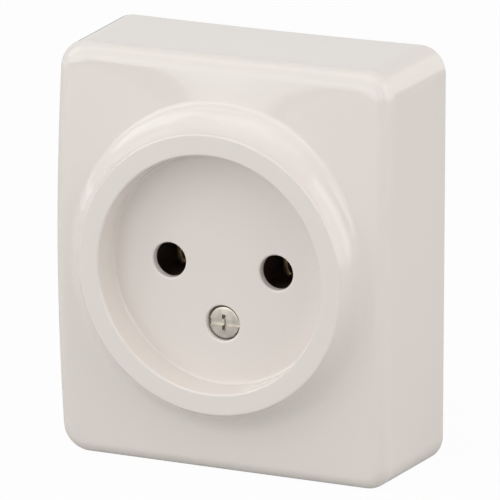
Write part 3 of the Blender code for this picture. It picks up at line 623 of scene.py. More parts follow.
def cavity_rings():
    rings = [at_height(section(0.0, WALL), -OVERRUN)]
    for sine, cosine in quarter(INNER_STEPS):
        inset = WALL + INNER_R * (1.0 - cosine)
        rings.append(on_crown(section(1.0, inset), WALL + INNER_R * (1.0 - sine)))
    rings.append(on_crown(circle(RECESS_R + BACKING), WALL))
    rings.append(at_height(circle(RECESS_R + BACKING - RECESS_DRAFT), FLOOR_BACK))
    return rings


def eased_hole(name, x, up, radius, deeper):
    """A hole through the recess floor, with its front edge rounded over."""
    top = FLOOR_FRONT + OVERRUN
    profile = [(0.0, top), (radius + HOLE_EASE, top)]
    for sine, cosine in quarter(SMALL_STEPS):
        profile.append((
            radius + HOLE_EASE * (1.0 - sine),
            FLOOR_FRONT - HOLE_EASE * (1.0 - cosine),
        ))
    return turned(name, profile + deeper, x, up)


def cavity_half_sizes(height):
    share = height / EDGE_DEPTH
    return HALF_W - DRAFT_SIDES * share - WALL, HALF_H - DRAFT_ENDS * share - END_BOW - WALL


def make_cover(material):
    hollow = loft("hollow", cavity_rings())
    boss = [(0.0, FLOOR_FRONT), (BOSS_R, FLOOR_FRONT), (BOSS_R, BOSS_BACK), (0.0, BOSS_BACK)]
    ribs = [turned("boss", boss, 0.0, -SCREW_DROP)]
    half_w, half_h = cavity_half_sizes(RIB_BACK)
    rib_front = EDGE_DEPTH - WALL / 2
    bite = WALL / 2
    for side in (-1, 1):
        for end in (-1, 1):
            x_span = sorted((side * (half_w - RIB_REACH), side * (half_w + bite)))
            y_span = both(RIB_T / 2, end * RIB_OFFSET_SIDE)
            ribs.append(block(f"side_rib_{side}_{end}", x_span, y_span, (RIB_BACK, rib_front)))
            y_span = sorted((end * (half_h - RIB_REACH), end * (half_h + bite)))
            x_span = both(RIB_T / 2, side * RIB_OFFSET_END)
            ribs.append(block(f"end_rib_{side}_{end}", x_span, y_span, (RIB_BACK, rib_front)))
    for rib in ribs:
        boolean(hollow, rib, "DIFFERENCE")
    extras = []
    for end in (-1, 1):
        skin = HALF_H - END_BOW - KNOCKOUT_SKIN
        y_span = sorted((end * (half_h - OVERRUN), end * skin))
        extras.append(block(f"knockout_{end}", both(KNOCKOUT_W / 2), y_span, (-OVERRUN, KNOCKOUT_DEPTH)))
    for side in (-1, 1):
        below = FLOOR_BACK - OVERRUN
        extras.append(eased_hole(f"pin_hole_{side}", side * PIN_X, 0.0, PIN_HOLE_R,
                                 [(PIN_HOLE_R, below), (0.0, below)]))
    below = BOSS_BACK - OVERRUN
    extras.append(eased_hole("screw_hole", 0.0, -SCREW_DROP, SCREW_HOLE_R, [
        (SCREW_HOLE_R, SCREW_SHELF), (SHANK_HOLE_R, SCREW_SHELF), (SHANK_HOLE_R, below), (0.0, below),
    ]))
    for extra in extras:
        boolean(hollow, extra, "UNION")
    bake(hollow, ribs + extras)
    cover = loft("cover_moulding", cover_outer_rings(), material)
    boolean(cover, hollow, "DIFFERENCE")
    bake(cover, [hollow])
    return placed(cover, "cover")


# The cover screw and the pieces inside.


def tapered_pit(name, x, up, half_x, half_up, front, deep, share):
    """A pit to cut, whose walls lean in towards its floor."""
    pit = block(name, both(half_x, x), both(half_up, up), (front - deep, front + OVERRUN))
    for vert in pit.data.vertices:
        if vert.co.y > -front:
            vert.co.x = lerp(x, vert.co.x, share)
            vert.co.z = lerp(up, vert.co.z, share)
    return pit


def make_cover_screw(material):
    """A low domed head with a slot and a short cross, on a threaded shank."""
    profile = [(0.0, HEAD_FRONT), (HEAD_R * DOME_FLAT, HEAD_FRONT - HEAD_DOME * DOME_SAG)]
    for sine, cosine in quarter(SMALL_STEPS):
        drop = HEAD_DOME * lerp(DOME_START, 1.0, 1.0 - cosine)
        profile.append((HEAD_R - HEAD_DOME * (1.0 - sine), HEAD_FRONT - drop))
    root = thread_root(SHANK_R, THREAD_PITCH)
    profile += [
        (HEAD_R, HEAD_BACK), (root, HEAD_BACK), (root, SHANK_TIP + THREAD_PITCH),
        (root - SHANK_POINT, SHANK_TIP), (0.0, SHANK_TIP),
    ]
    screw = turned("cover_screw_turned", profile, 0.0, -SCREW_DROP, material=material)
    threaded(screw, 0.0, -SCREW_DROP, SHANK_R, SHANK_TIP, HEAD_BACK, THREAD_PITCH)
    slot = block("slot", both(HEAD_R + OVERRUN), both(SLOT_W / 2, -SCREW_DROP),
                 (HEAD_FRONT - SLOT_DEPTH, HEAD_FRONT + OVERRUN))
    arm = tapered_pit("arm", 0.0, -SCREW_DROP, CROSS_W / 2, CROSS_SPAN / 2,
                      HEAD_FRONT, CROSS_DEPTH, CROSS_TAPER)
    carve(screw, [slot, arm])
    return placed(screw, "cover_screw")


def make_bush(material):
    """The brass bush in the base's boss, threaded inside and grooved outside."""
    bore = SHANK_R + SLACK
    middle = (BUSH_FRONT + BUSH_BACK) / 2
    above = middle + BUSH_GROOVE
    below = middle - BUSH_GROOVE
    profile = [
        (bore + BUSH_EASE, BUSH_FRONT), (BUSH_R - BUSH_EASE, BUSH_FRONT),
        (BUSH_R, BUSH_FRONT - BUSH_EASE), (BUSH_R, above), (BUSH_R - BUSH_GROOVE, above),
        (BUSH_R - BUSH_GROOVE, below), (BUSH_R, below), (BUSH_R, BUSH_BACK + BUSH_EASE),
        (BUSH_R - BUSH_EASE, BUSH_BACK), (bore + BUSH_EASE, BUSH_BACK),
    ]
    height = BUSH_BACK + THREAD_PITCH
    while height < BUSH_FRONT - THREAD_PITCH:
        profile += [(bore, height), (bore + THREAD_DEPTH, height + THREAD_PITCH / 2)]
        height += THREAD_PITCH
    profile.append((bore, height))
    bush = turned("cover_screw_bush_turned", profile, 0.0, -SCREW_DROP, HOLE_STEPS, material)
    return placed(bush, "cover_screw_bush")


def through_cuts(prefix, back, front, ease):
    """What goes through both the base and the back plate: wall screw slots, notches and cable holes."""
    span = (back - OVERRUN, front + OVERRUN)
    cuts = []
    for end, wide, tall in ((1, FIXING_LONG, FIXING_WIDE), (-1, FIXING_WIDE, FIXING_LONG)):
        cuts.append(block(f"{prefix}_fixing_{end}", both(wide / 2), both(tall / 2, end * FIXING_UP),
                          span, FIXING_WIDE / 2 - WELD))
        edge = sorted((end * (BASE_HALF_H - NOTCH_DEPTH + SLACK), end * (BASE_HALF_H + OVERRUN)))
        cuts.append(block(f"{prefix}_notch_{end}", both(KNOCKOUT_W / 2), edge, span, NOTCH_CORNER_R))
    for side in (-1, 1):
        cuts.append(drilled(f"{prefix}_cable_{side}", side * CABLE_X, -CABLE_DROP, CABLE_R,
                            back, front, ease))
    return cuts


def make_back_plate(material):
    """The pressed board that closes the base towards the wall, punched and sunk for its eyelets."""
    plate = block("back_plate_punched", both(BASE_HALF_W), both(BASE_HALF_H),
                  (0.0, PLATE_T), BASE_CORNER_R, material, PLATE_EASE)
    cuts = through_cuts("board", 0.0, PLATE_T, PLATE_EASE)
    shelf = EYELET_SINK + EYELET_T + SLACK
    shank = EYELET_R + SLACK
    flange = EYELET_FLANGE + SLACK
    mouth = flange + EYELET_MOUTH
    profile = [
        (0.0, PLATE_T + OVERRUN), (shank, PLATE_T + OVERRUN), (shank, shelf), (flange, shelf),
        (flange, EYELET_MOUTH), (mouth, 0.0), (mouth, -OVERRUN), (0.0, -OVERRUN),
    ]
    for side in (-1, 1):
        cuts.append(turned(f"board_eyelet_{side}", profile, side * EYELET_X, EYELET_UP, HOLE_STEPS))
    carve(plate, cuts)
    return placed(plate, "back_plate")


def make_base(material):
    """The moulded base: its plate, two chambers with their seats, the screw boss and the barrier."""
    base = block("base_moulded", both(BASE_HALF_W), both(BASE_HALF_H),
                 (BASE_BACK, BASE_FRONT), BASE_CORNER_R, material, BASE_EASE)
    carve(base, base_growths(), "UNION")
    carve(base, base_hollows())
    return placed(base, "base")


def base_growths():
    """What stands on the base's plate."""
    inside = (BASE_BACK + BASE_FRONT) / 2
    reach = CHAMBER_HALF + CHAMBER_WALL
    slim = reach - SEAT_STEP
    low = -CHAMBER_BELOW - CHAMBER_WALL
    growths = []
    for side in (-1, 1):
        x = side * PIN_X
        growths.append(block(f"seat_{side}", both(reach, x), (low, SEAT_END), (inside, SEAT_TOP),
                             CHAMBER_CORNER_R, ease=CHAMBER_EASE))
        growths.append(block(f"chamber_{side}", both(slim, x), (low + SEAT_STEP, CHAMBER_ABOVE),
                             (inside + SEAT_STEP, CHAMBER_FRONT), CHAMBER_CORNER_R, ease=CHAMBER_EASE))
    foot_r = BASE_BOSS_R + BASE_BOSS_FLARE
    growths.append(turned("base_boss", [
        (0.0, BASE_BOSS_FRONT), (BASE_BOSS_R - BASE_BOSS_EASE, BASE_BOSS_FRONT),
        (BASE_BOSS_R, BASE_BOSS_FRONT - BASE_BOSS_EASE), (foot_r, BASE_FRONT), (foot_r, inside),
        (0.0, inside),
    ], 0.0, -SCREW_DROP, HOLE_STEPS))
    growths.append(block("barrier", both(BARRIER_T / 2), (-SCREW_DROP, SEAT_END),
                         (inside, BARRIER_FRONT), ease=BARRIER_EASE))
    return growths


def base_hollows():
    """What is cut out of the base once it is whole."""
    cuts = through_cuts("base", BASE_BACK, BASE_FRONT, BASE_HOLE_EASE)
    deep = BASE_BACK - OVERRUN
    seat = SEAT_TOP + SLACK
    pocket = NUT_HALF + SLACK
    for side in (-1, 1):
        x = side * PIN_X
        cuts.append(block(f"chamber_hollow_{side}", both(CHAMBER_HALF, x),
                          (-CHAMBER_BELOW, CHAMBER_ABOVE + OVERRUN), (SEAT_TOP, CHAMBER_FRONT + OVERRUN)))
        cuts.append(drilled(f"pin_well_{side}", x, 0.0, PIN_WELL_R, deep, seat))
        cuts.append(drilled(f"rivet_hole_{side}", x, RIVET_UP, RIVET_R + SLACK, deep, seat))
        cuts.append(drilled(f"rivet_pocket_{side}", x, RIVET_UP, RIVET_HEAD_R + SLACK,
                            deep, BASE_BACK + RIVET_POCKET))
        cuts.append(drilled(f"terminal_hole_{side}", x, TERMINAL_UP, TERMINAL_R + SLACK, deep, seat))
        cuts.append(block(f"nut_pocket_{side}", both(pocket, x), both(pocket, TERMINAL_UP),
                          (deep, NUT_FRONT + SLACK)))
        cuts.append(drilled(f"eyelet_hole_{side}", side * EYELET_X, EYELET_UP, EYELET_R + SLACK,
                            deep, BASE_FRONT + OVERRUN))
        cuts.append(block(f"fixing_recess_{side}", both(FIXING_RECESS),
                          both(FIXING_RECESS, side * FIXING_UP),
                          (BASE_FRONT - PLATE_T, BASE_FRONT + OVERRUN), FIXING_RECESS - WELD))
    cuts.append(drilled("bush_hole", 0.0, -SCREW_DROP, BUSH_R + SLACK,
                        BUSH_BACK - SLACK, BASE_BOSS_FRONT + OVERRUN))
    return cuts


def leaf_line():
    """The contact strip's middle line: up the right leaf, over the bend and down the left leaf."""
    leaf = []
    for step in range(LEAF_STEPS + 1):
        share = step / LEAF_STEPS
        leaf.append((LEAF_X - LEAF_CURL * (1.0 - share) ** 4, -LEAF_BELOW * (1.0 - share)))
    for step in range(1, LEAF_STEPS):
        share = step / LEAF_STEPS
        leaf.append((lerp(LEAF_X, BIGHT_R, share * share), LEAF_ABOVE * share))
    bend = half_ring(BIGHT_R, LEAF_ABOVE)
    return leaf + bend + [(-x, up) for x, up in reversed(leaf)]


def half_ring(radius, up):
    """Points of the bend over the pin, from the right to the left."""
    angles = [math.pi * step / BEND_STEPS for step in range(BEND_STEPS + 1)]
    return [(radius * math.cos(angle), up + radius * math.sin(angle)) for angle in angles]


def bent_strip(name, x, line, back, front, thickness, ease, material, lowered=None):
    """A strip on edge: its line is drawn at the back, pulled up to the front and given its thickness."""
    bm = bmesh.new()
    row = [bm.verts.new(stand(x + across, up, back)) for across, up in line]
    edges = [bm.edges.new(pair) for pair in zip(row, row[1:])]
    grown = bmesh.ops.extrude_edge_only(bm, edges=edges)
    fresh = [item for item in grown["geom"] if isinstance(item, bmesh.types.BMVert)]
    for vert in fresh:
        vert.co.y = -front if lowered is None else -lowered(vert.co.z)
    bmesh.ops.recalc_face_normals(bm, faces=bm.faces)
    piece = new_object(name, bm, material)
    shell = piece.modifiers.new("thickness", "SOLIDIFY")
    shell.thickness = thickness
    shell.offset = 0.0
    shell.use_even_offset = True
    rounding = piece.modifiers.new("eased_edges", "BEVEL")
    rounding.width = ease
    rounding.segments = EASE_SEGMENTS
    rounding.limit_method = "ANGLE"
    rounding.angle_limit = EASE_ANGLE
    return bake(piece)


def leaf_front(up):
    """The leaves reach furthest in their middle, and the bend over them stays lower."""
    if up > LEAF_ABOVE - WELD:
        return BIGHT_FRONT
    past = up / LEAF_ABOVE - LEAF_SLOPE_START
    if past > 0.0:
        return lerp(LEAF_FRONT, BIGHT_FRONT, past / (1.0 - LEAF_SLOPE_START))
    return LEAF_FRONT - LEAF_CORNER * min(up / LEAF_BELOW, 0.0) ** 2


def make_contact(side, label, material):
    """The folded brass contact: two leaves joined by a bend, and a tab for the rivet and the screw."""
    x = side * PIN_X
    contact = bent_strip(f"contact_{label}_folded", x, leaf_line(), TAB_BACK, LEAF_FRONT, STRIP_T,
                         STRIP_EASE, material, leaf_front)
    tab = block("tab", both(TAB_HALF, x), (LEAF_ABOVE, TAB_END), (TAB_BACK, TAB_FRONT),
                TAB_CORNER_R, ease=TAB_EASE)
    carve(contact, [tab], "UNION")
    carve(contact, [
        drilled("tab_screw_hole", x, TERMINAL_UP, TERMINAL_R + SLACK, TAB_BACK, TAB_FRONT, PUNCH_EASE),
        drilled("tab_rivet_hole", x, RIVET_UP, RIVET_R + SLACK, TAB_BACK, TAB_FRONT, PUNCH_EASE),
    ])
    return placed(contact, f"contact_{label}", STRIP_SHARP_DEGREES)


def make_clip(side, label, material):
    """The spring clip: two legs that pinch the leaves and open again at their ends."""
    leg = []
    for step in range(LEAF_STEPS):
        share = step / LEAF_STEPS
        up = lerp(-CLIP_BELOW, LEAF_ABOVE, share)
        pinch = CLIP_PINCH * math.exp(-((up / CLIP_BELOW) ** 2))
        leg.append((CLIP_R - pinch, up))
    bend = half_ring(CLIP_R, LEAF_ABOVE)
    line = leg + bend + [(-x, up) for x, up in reversed(leg)]
    clip = bent_strip(f"contact_clip_{label}_bent", side * PIN_X, line, CLIP_BACK, CLIP_FRONT, CLIP_T,
                      CLIP_EASE, material)
    return placed(clip, f"contact_clip_{label}", STRIP_SHARP_DEGREES)


def make_rivet(side, label, material):
    """A rivet with a domed head on the tab and an upset tail under the seat."""
    head_back = TAB_FRONT + SLACK
    profile = [(0.0, head_back + RIVET_HEAD_T)]
    for sine, cosine in quarter(SMALL_STEPS, 1):
        height = head_back + RIVET_HEAD_T * lerp(RIVET_EDGE, 1.0, cosine)
        profile.append((RIVET_HEAD_R * sine, height))
    profile += [
        (RIVET_HEAD_R, head_back), (RIVET_R, head_back), (RIVET_R, RIVET_BACK), (RIVET_HEAD_R, RIVET_BACK),
    ]
    for sine, _ in quarter(INNER_STEPS):
        radius = RIVET_HEAD_R - RIVET_TAIL_EASE * sine
        profile.append((radius, RIVET_BACK - RIVET_HEAD_T * sine))
    profile.append((0.0, RIVET_BACK - RIVET_HEAD_T))
    rivet = turned(f"contact_rivet_{label}_set", profile, side * PIN_X, RIVET_UP, HOLE_STEPS, material)
    return placed(rivet, f"contact_rivet_{label}")


def make_clamp(side, label, material):
    """The square plate that presses the wire, with a lip turned up along two of its edges."""
    x = side * PIN_X
    lip_t = (CLAMP_FRONT - CLAMP_BACK) / 2
    plate = block(f"clamp_plate_{label}_pressed", both(CLAMP_HALF, x), both(CLAMP_HALF, TERMINAL_UP),
                  (CLAMP_BACK, CLAMP_FRONT + CLAMP_LIP), material=material, ease=CLAMP_EASE)
    carve(plate, [
        block("trough", both(CLAMP_HALF + OVERRUN, x), both(CLAMP_HALF - lip_t, TERMINAL_UP),
              (CLAMP_FRONT, CLAMP_FRONT + OVERRUN), ease=CLAMP_EASE),
        drilled("clamp_hole", x, TERMINAL_UP, TERMINAL_R + SLACK, CLAMP_BACK, CLAMP_FRONT, PUNCH_EASE),
    ])
    return placed(plate, f"clamp_plate_{label}")


def make_spring_washer(side, label, material):
    """A split washer: its section turns almost full circle and climbs a little on the way."""
    inner = TERMINAL_R + SLACK
    outer = inner + WASHER_W
    front = WASHER_BACK + WASHER_T
    corners = [(inner, WASHER_BACK), (outer, WASHER_BACK), (outer, front), (inner, front)]
    bm = climbing(corners, side * PIN_X, TERMINAL_UP, WASHER_RISE / HOLE_STEPS, WASHER_TURN, HOLE_STEPS)
    ease_edges(bm, WASHER_EASE, WASHER_SEGMENTS)
    washer = new_object(f"spring_washer_{label}_split", bm, material)
    return placed(washer, f"spring_washer_{label}")


def make_terminal_screw(side, label, material):
    """A slotted screw with a cheese head, threaded down to its tip."""
    x = side * PIN_X
    profile = [(0.0, TERMINAL_HEAD_FRONT)]
    for sine, cosine in quarter(SMALL_STEPS):
        profile.append((
            TERMINAL_HEAD_R - TERMINAL_CROWN * (1.0 - sine),
            TERMINAL_HEAD_FRONT - TERMINAL_CROWN * (1.0 - cosine),
        ))
    root = thread_root(TERMINAL_R, TERMINAL_PITCH)
    profile += [
        (TERMINAL_HEAD_R, TERMINAL_HEAD_BACK), (root, TERMINAL_HEAD_BACK),
        (root, NUT_BACK + TERMINAL_PITCH), (root - TERMINAL_POINT, NUT_BACK), (0.0, NUT_BACK),
    ]
    screw = turned(f"terminal_screw_{label}_turned", profile, x, TERMINAL_UP, HOLE_STEPS, material)
    threaded(screw, x, TERMINAL_UP, TERMINAL_R, NUT_BACK, TERMINAL_HEAD_BACK, TERMINAL_PITCH)
    slot = block("slot", both(TERMINAL_HEAD_R + OVERRUN, x), both(TERMINAL_SLOT_W / 2, TERMINAL_UP),
                 (TERMINAL_HEAD_FRONT - TERMINAL_SLOT_DEPTH, TERMINAL_HEAD_FRONT + OVERRUN))
    carve(screw, [slot])
    return placed(screw, f"terminal_screw_{label}")


def make_nut(side, label, material):
    """A square nut: a grooved rod is cut out of a block."""
    x = side * PIN_X
    nut = block(f"terminal_nut_{label}_square", both(NUT_HALF, x), both(NUT_HALF, TERMINAL_UP),
                (NUT_BACK, NUT_FRONT), NUT_CORNER_R, material, NUT_EASE)
    bore = TERMINAL_R + NUT_PLAY
    mouth = bore + NUT_MOUTH
    profile = [(0.0, NUT_FRONT + OVERRUN), (mouth, NUT_FRONT + OVERRUN), (mouth, NUT_FRONT)]
    height = NUT_FRONT - NUT_MOUTH
    while height > NUT_BACK + NUT_MOUTH:
        profile += [(bore, height), (bore + NUT_THREAD, height - TERMINAL_PITCH / 2)]
        height -= TERMINAL_PITCH
    profile += [(mouth, NUT_BACK), (mouth, NUT_BACK - OVERRUN), (0.0, NUT_BACK - OVERRUN)]
    carve(nut, [turned("nut_thread", profile, x, TERMINAL_UP, HOLE_STEPS)])
    return placed(nut, f"terminal_nut_{label}")


def rolled(inner, outer, flat, way):
    """Points of a rolled-over flange, from its bore to its rim. way is 1 at the front, -1 at the back."""
    half = (outer - inner) / 2
    points = []
    for step in range(ROLL_STEPS + 1):
        angle = math.pi * step / ROLL_STEPS
        radius = inner + half * (1.0 - math.cos(angle))
        points.append((radius, flat + way * EYELET_T * math.sin(angle)))
    return points


def make_eyelet(side, label, material):
    """A hollow eyelet through the base and the board, rolled over at both ends."""
    front = BASE_FRONT + SLACK
    back = EYELET_SINK + EYELET_T
    profile = [(EYELET_R, back), (EYELET_R, front), (EYELET_FLANGE, front)]
    profile += rolled(EYELET_BORE, EYELET_FLANGE, front, 1)[-2::-1]
    profile += rolled(EYELET_BORE, EYELET_FLANGE, back, -1)
    eyelet = turned(f"back_plate_eyelet_{label}_rolled", profile, side * EYELET_X, EYELET_UP,
                    HOLE_STEPS, material)
    return placed(eyelet, f"back_plate_eyelet_{label}")


PAIRED = (
    (make_contact, "brass"), (make_clip, "spring_steel"), (make_rivet, "brass"),
    (make_clamp, "zinc_steel"), (make_spring_washer, "spring_steel"),
    (make_terminal_screw, "zinc_steel"), (make_nut, "zinc_steel"), (make_eyelet, "brass"),
)


# Finishes.


def finish(name, colour, roughness, metallic=0.0):
    made = bpy.data.materials.new(name)
    made.use_nodes = True
    shader = made.node_tree.nodes["Principled BSDF"]
    shader.inputs["Base Color"].default_value = (*colour, 1.0)
    shader.inputs["Roughness"].default_value = roughness
    shader.inputs["Metallic"].default_value = metallic
    return made


def texture(material, scale, detail=4.0, stretch=(1.0, 1.0, 1.0)):
    """Noise in the object's own coordinates. scale is in features for each metre."""
    nodes = material.node_tree.nodes
    links = material.node_tree.links
    place = nodes.new("ShaderNodeTexCoord")
    mapping = nodes.new("ShaderNodeMapping")
    mapping.inputs["Scale"].default_value = stretch
    noise = nodes.new("ShaderNodeTexNoise")
    noise.inputs["Scale"].default_value = scale
    noise.inputs["Detail"].default_value = detail
    links.new(place.outputs["Object"], mapping.inputs["Vector"])
    links.new(mapping.outputs["Vector"], noise.inputs["Vector"])
    return noise


def drive(material, output, name):
    """Lets an output set one of the shader's inputs."""
    tree = material.node_tree
    tree.links.new(output, tree.nodes["Principled BSDF"].inputs[name])


def vary_colour(material, noise, dark, light):
    ramp = material.node_tree.nodes.new("ShaderNodeValToRGB")
    first, last = ramp.color_ramp.elements
    first.color = (*dark, 1.0)
    last.color = (*light, 1.0)
    first.position = NOISE_LOW
    last.position = NOISE_HIGH
    material.node_tree.links.new(noise.outputs[0], ramp.inputs["Fac"])
    drive(material, ramp.outputs["Color"], "Base Color")


def vary_roughness(material, noise, low, high):
    spread = material.node_tree.nodes.new("ShaderNodeMapRange")
    spread.inputs["To Min"].default_value = low
    spread.inputs["To Max"].default_value = high
    material.node_tree.links.new(noise.outputs[0], spread.inputs["Value"])
    drive(material, spread.outputs["Result"], "Roughness")


def add_bump(material, noise, strength, distance):
    bump = material.node_tree.nodes.new("ShaderNodeBump")
    bump.inputs["Strength"].default_value = strength
    bump.inputs["Distance"].default_value = distance
    material.node_tree.links.new(noise.outputs[0], bump.inputs["Height"])
    drive(material, bump.outputs["Normal"], "Normal")


def make_plastic():
    """Glossy ivory moulding: even in colour, with a hardly seen change in its polish."""
    plastic = finish("ivory_plastic", (0.808, 0.757, 0.714), roughness=0.15)
    plastic.node_tree.nodes["Principled BSDF"].inputs["IOR"].default_value = 1.5
    vary_roughness(plastic, texture(plastic, scale=60.0, detail=2.0), low=0.025, high=0.045)
    return plastic


def make_steel():
    """Zinc-plated steel, grainy and a little dull."""
    steel = finish("zinc_steel", (0.57, 0.54, 0.48), roughness=0.35, metallic=1.0)
    vary_colour(steel, texture(steel, scale=900.0), dark=(0.50, 0.47, 0.41), light=(0.63, 0.60, 0.54))
    vary_roughness(steel, texture(steel, scale=1800.0), low=0.25, high=0.45)
    add_bump(steel, texture(steel, scale=2500.0), strength=0.15, distance=0.02 * MM)
    return steel


def make_brass():
    """Rolled brass, drawn along the pins' direction."""
    brass = finish("brass", (0.60, 0.46, 0.24), roughness=0.4, metallic=1.0)
    vary_colour(brass, texture(brass, scale=500.0), dark=(0.52, 0.39, 0.20), light=(0.67, 0.52, 0.29))
    drawn = texture(brass, scale=900.0, detail=6.0, stretch=(1.0, 12.0, 1.0))
    vary_roughness(brass, drawn, low=0.3, high=0.5)
    lines = texture(brass, scale=1500.0, stretch=(1.0, 14.0, 1.0))
    add_bump(brass, lines, strength=0.12, distance=0.02 * MM)
    return brass


def make_phenolic():
    """Dark brown moulding with flecks of its filler."""
    phenolic = finish("phenolic", (0.115, 0.072, 0.052), roughness=0.35)
    flecks = texture(phenolic, scale=700.0, detail=8.0)
    vary_colour(phenolic, flecks, dark=(0.095, 0.058, 0.041), light=(0.135, 0.086, 0.063))
    vary_roughness(phenolic, texture(phenolic, scale=400.0), low=0.28, high=0.48)
    add_bump(phenolic, texture(phenolic, scale=1200.0), strength=0.15, distance=0.05 * MM)
    return phenolic


def make_board():
    """Pressed board with fibres that lie across it."""
    board = finish("fibre_board", (0.09, 0.06, 0.045), roughness=0.7)
    fibres = texture(board, scale=450.0, detail=10.0, stretch=(1.0, 1.0, 5.0))
    vary_colour(board, fibres, dark=(0.06, 0.038, 0.028), light=(0.13, 0.088, 0.066))
    vary_roughness(board, texture(board, scale=300.0), low=0.6, high=0.85)
    nap = texture(board, scale=1300.0, detail=8.0, stretch=(1.0, 1.0, 6.0))
    add_bump(board, nap, strength=0.35, distance=0.06 * MM)
    return board


def make_spring_steel():
    """Dark, oiled spring steel."""
    spring = finish("spring_steel", (0.25, 0.26, 0.28), roughness=0.35, metallic=1.0)
    vary_colour(spring, texture(spring, scale=700.0), dark=(0.20, 0.21, 0.23), light=(0.30, 0.31, 0.34))
    vary_roughness(spring, texture(spring, scale=1200.0), low=0.28, high=0.45)
    add_bump(spring, texture(spring, scale=2000.0), strength=0.12, distance=0.02 * MM)
    return spring


def make_finishes():
    return {
        "cover_plastic": make_plastic(),
        "zinc_steel": make_steel(),
        "brass": make_brass(),
        "phenolic": make_phenolic(),
        "fibre_board": make_board(),
        "spring_steel": make_spring_steel(),
    }


# Light, floor and camera.


def direction(turn, lift=0.0):
    """Away from the socket: turned to the right of its front by an angle, and lifted by another."""
    flat = math.cos(lift)
    return Vector((math.sin(turn) * flat, -math.cos(turn) * flat, math.sin(lift)))


def aim(thing, place, target):
    thing.location = place
    thing.rotation_euler = (target - place).to_track_quat("-Z", "Y").to_euler()


def soft_panel(name, place, way, width, height, watts):
    """A soft panel at a place, which shines along a direction."""
    data = bpy.data.lights.new(name, "AREA")
    data.shape = "RECTANGLE"
    data.size = width
    data.size_y = height
    data.energy = watts
    lamp = linked(name, data)
    aim(lamp, Vector(place), Vector(place) + way)
    lamp.visible_camera = False
    return lamp


def standing_panel(name, turn, distance, width, height, base, watts, roll=0.0):
    """An upright panel to the right of the socket's front by an angle, its foot base over the floor."""
    out = direction(math.radians(turn))
    place = out * distance + Vector((0.0, 0.0, -HALF_H + base + height / 2))
    lamp = soft_panel(name, place, -out, width, height, watts)
    lamp.rotation_euler.rotate_axis("Z", math.radians(roll))
    return lamp


def overhead_panel(name, x, y, size, watts):
    """A square panel that lies over the socket and shines down."""
    return soft_panel(name, (x, y, OVERHEAD), DOWNWARDS, size, size, watts)


def raised_panel(name, turn, lift, distance, size, watts):
    """A square panel in a direction from the socket, which faces it."""
    way = direction(math.radians(turn), math.radians(lift))
    return soft_panel(name, way * distance, -way, size, size, watts)


def make_lights():
    # The low panel shows in the top of the face, and its lower edge draws the bright shape there.
    standing_panel("front_left_low", turn=-26.0, distance=0.95, width=0.4, height=0.16, base=0.018,
                   watts=0.36, roll=-8.0)
    standing_panel("front_left", turn=-32.0, distance=0.95, width=1.2, height=0.6, base=0.02, watts=2.1)
    right = standing_panel("right", turn=95.0, distance=0.93, width=1.2, height=1.2, base=0.0, watts=4.8)
    right.data.color = WARM_LIGHT
    standing_panel("right_front", turn=66.0, distance=0.93, width=0.5, height=1.0, base=0.1, watts=2.1)
    standing_panel("behind_right", turn=140.0, distance=0.93, width=1.2, height=0.6, base=0.0, watts=1.0)
    standing_panel("low_left", turn=-80.0, distance=0.6, width=0.6, height=0.08, base=0.0, watts=0.14)
    overhead_panel("over_front_left", x=-0.5, y=-0.5, size=1.0, watts=0.4)
    overhead_panel("over_front_right", x=0.5, y=-0.5, size=1.0, watts=1.0)
    overhead_panel("over_back_left", x=-0.5, y=0.5, size=1.0, watts=0.66)
    raised_panel("key_front", turn=-25.0, lift=35.0, distance=0.9, size=0.5, watts=0.3)
    raised_panel("key_left", turn=-60.0, lift=30.0, distance=0.9, size=0.5, watts=1.36)
    raised_panel("key_above", turn=0.0, lift=50.0, distance=0.9, size=0.5, watts=0.56)
    raised_panel("key_high", turn=-30.0, lift=65.0, distance=0.9, size=0.5, watts=0.7)
    raised_panel("frontal", turn=18.0, lift=12.0, distance=1.3, size=0.4, watts=0.82)


def combined(tree, operation, first, second):
    """Works out a value from an output and either a second output or a number."""
    step = tree.nodes.new("ShaderNodeMath")
    step.operation = operation
    tree.links.new(first, step.inputs[0])
    if isinstance(second, float):
        step.inputs[1].default_value = second
    else:
        tree.links.new(second, step.inputs[1])
    return step.outputs["Value"]


def mirrored_rays(tree):
    """Two values: 1 for the camera's rays, and 1 for the rays that gloss and glass send."""
    rays = tree.nodes.new("ShaderNodeLightPath").outputs
    sent = combined(tree, "MAXIMUM", rays["Is Glossy Ray"], rays["Is Transmission Ray"])
    return rays["Is Camera Ray"], sent


def mix_shaders(tree, share, first, second, surface):
    """Gives a surface its first shader, or its second one where the share is 1."""
    mix = tree.nodes.new("ShaderNodeMixShader")
    tree.links.new(share, mix.inputs["Fac"])
    tree.links.new(first, mix.inputs[1])
    tree.links.new(second, mix.inputs[2])
    tree.links.new(mix.outputs["Shader"], surface)


def backdrop(tree, strength):
    made = tree.nodes.new("ShaderNodeBackground")
    made.inputs["Color"].default_value = (1.0, 1.0, 1.0, 1.0)
    made.inputs["Strength"].default_value = strength
    return made.outputs["Background"]


def make_world():
    """White to the camera and in the gloss, and a weaker light from all round otherwise."""
    world = bpy.data.worlds.new("studio")
    bpy.context.scene.world = world
    world.use_nodes = True
    tree = world.node_tree
    tree.nodes.clear()
    out = tree.nodes.new("ShaderNodeOutputWorld")
    camera_ray, mirrored_ray = mirrored_rays(tree)
    either = combined(tree, "MAXIMUM", camera_ray, mirrored_ray)
    mix_shaders(tree, either, backdrop(tree, WORLD_LIGHT), backdrop(tree, 1.0), out.inputs["Surface"])


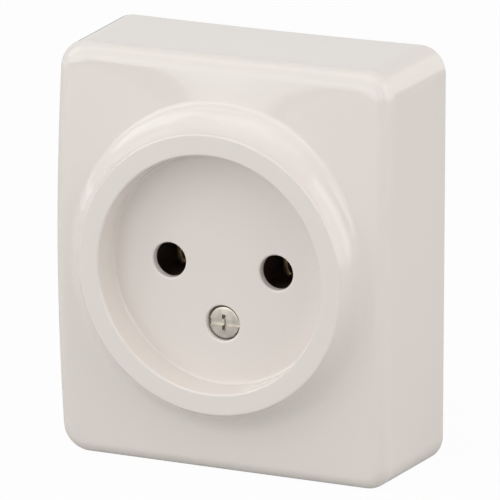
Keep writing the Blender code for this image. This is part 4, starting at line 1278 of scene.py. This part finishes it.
def make_floor(level):
    """Pale paper that the camera sees as white, with the socket's shadow left faintly in it."""
    bm = bmesh.new()
    place = Matrix.Translation((0.0, 0.0, level))
    bmesh.ops.create_grid(bm, x_segments=1, y_segments=1, size=FLOOR_HALF, matrix=place)
    floor = new_object("floor", bm)
    paper = finish("white_paper", (FLOOR_GREY, FLOOR_GREY, FLOOR_GREY), roughness=1.0)
    tree = paper.node_tree
    shader = tree.nodes["Principled BSDF"]
    shader.inputs["Specular IOR Level"].default_value = 0.0
    glow = tree.nodes.new("ShaderNodeEmission")
    camera_ray, mirrored_ray = mirrored_rays(tree)
    seen = combined(tree, "MULTIPLY", camera_ray, FLOOR_GLOW_SEEN)
    mirrored = combined(tree, "MULTIPLY", mirrored_ray, FLOOR_GLOW_MIRRORED)
    share = combined(tree, "ADD", seen, mirrored)
    mix_shaders(tree, share, shader.outputs["BSDF"], glow.outputs["Emission"],
                tree.nodes["Material Output"].inputs["Surface"])
    floor.data.materials.append(paper)


def make_camera():
    data = bpy.data.cameras.new("camera")
    data.lens = CAMERA_LENS
    data.sensor_width = CAMERA_SENSOR
    data.clip_start = CAMERA_NEAR
    data.clip_end = CAMERA_FAR
    camera = linked("camera", data)
    way = direction(CAMERA_TURN, CAMERA_LIFT)
    aim(camera, CAMERA_TARGET + way * CAMERA_DISTANCE, CAMERA_TARGET)
    bpy.context.scene.camera = camera


def main():
    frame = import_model()
    solid_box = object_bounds()
    slots = {part["node"]: part["material_slot"] for part in frame["record"]["subparts"]}
    finishes = make_finishes()
    for name, node in frame["nodes"].items():
        node.data.materials.clear()
        node.data.materials.append(finishes[slots[name]])
    make_cover(finishes["cover_plastic"])
    make_cover_screw(finishes["zinc_steel"])
    make_bush(finishes["brass"])
    make_back_plate(finishes["fibre_board"])
    make_base(finishes["phenolic"])
    for side, label in ((-1, "left"), (1, "right")):
        for make, slot in PAIRED:
            make(side, label, finishes[slot])
    make_world()
    make_lights()
    make_floor(solid_box[0][2])
    make_camera()
    bpy.context.scene.view_settings.view_transform = "Standard"


main()
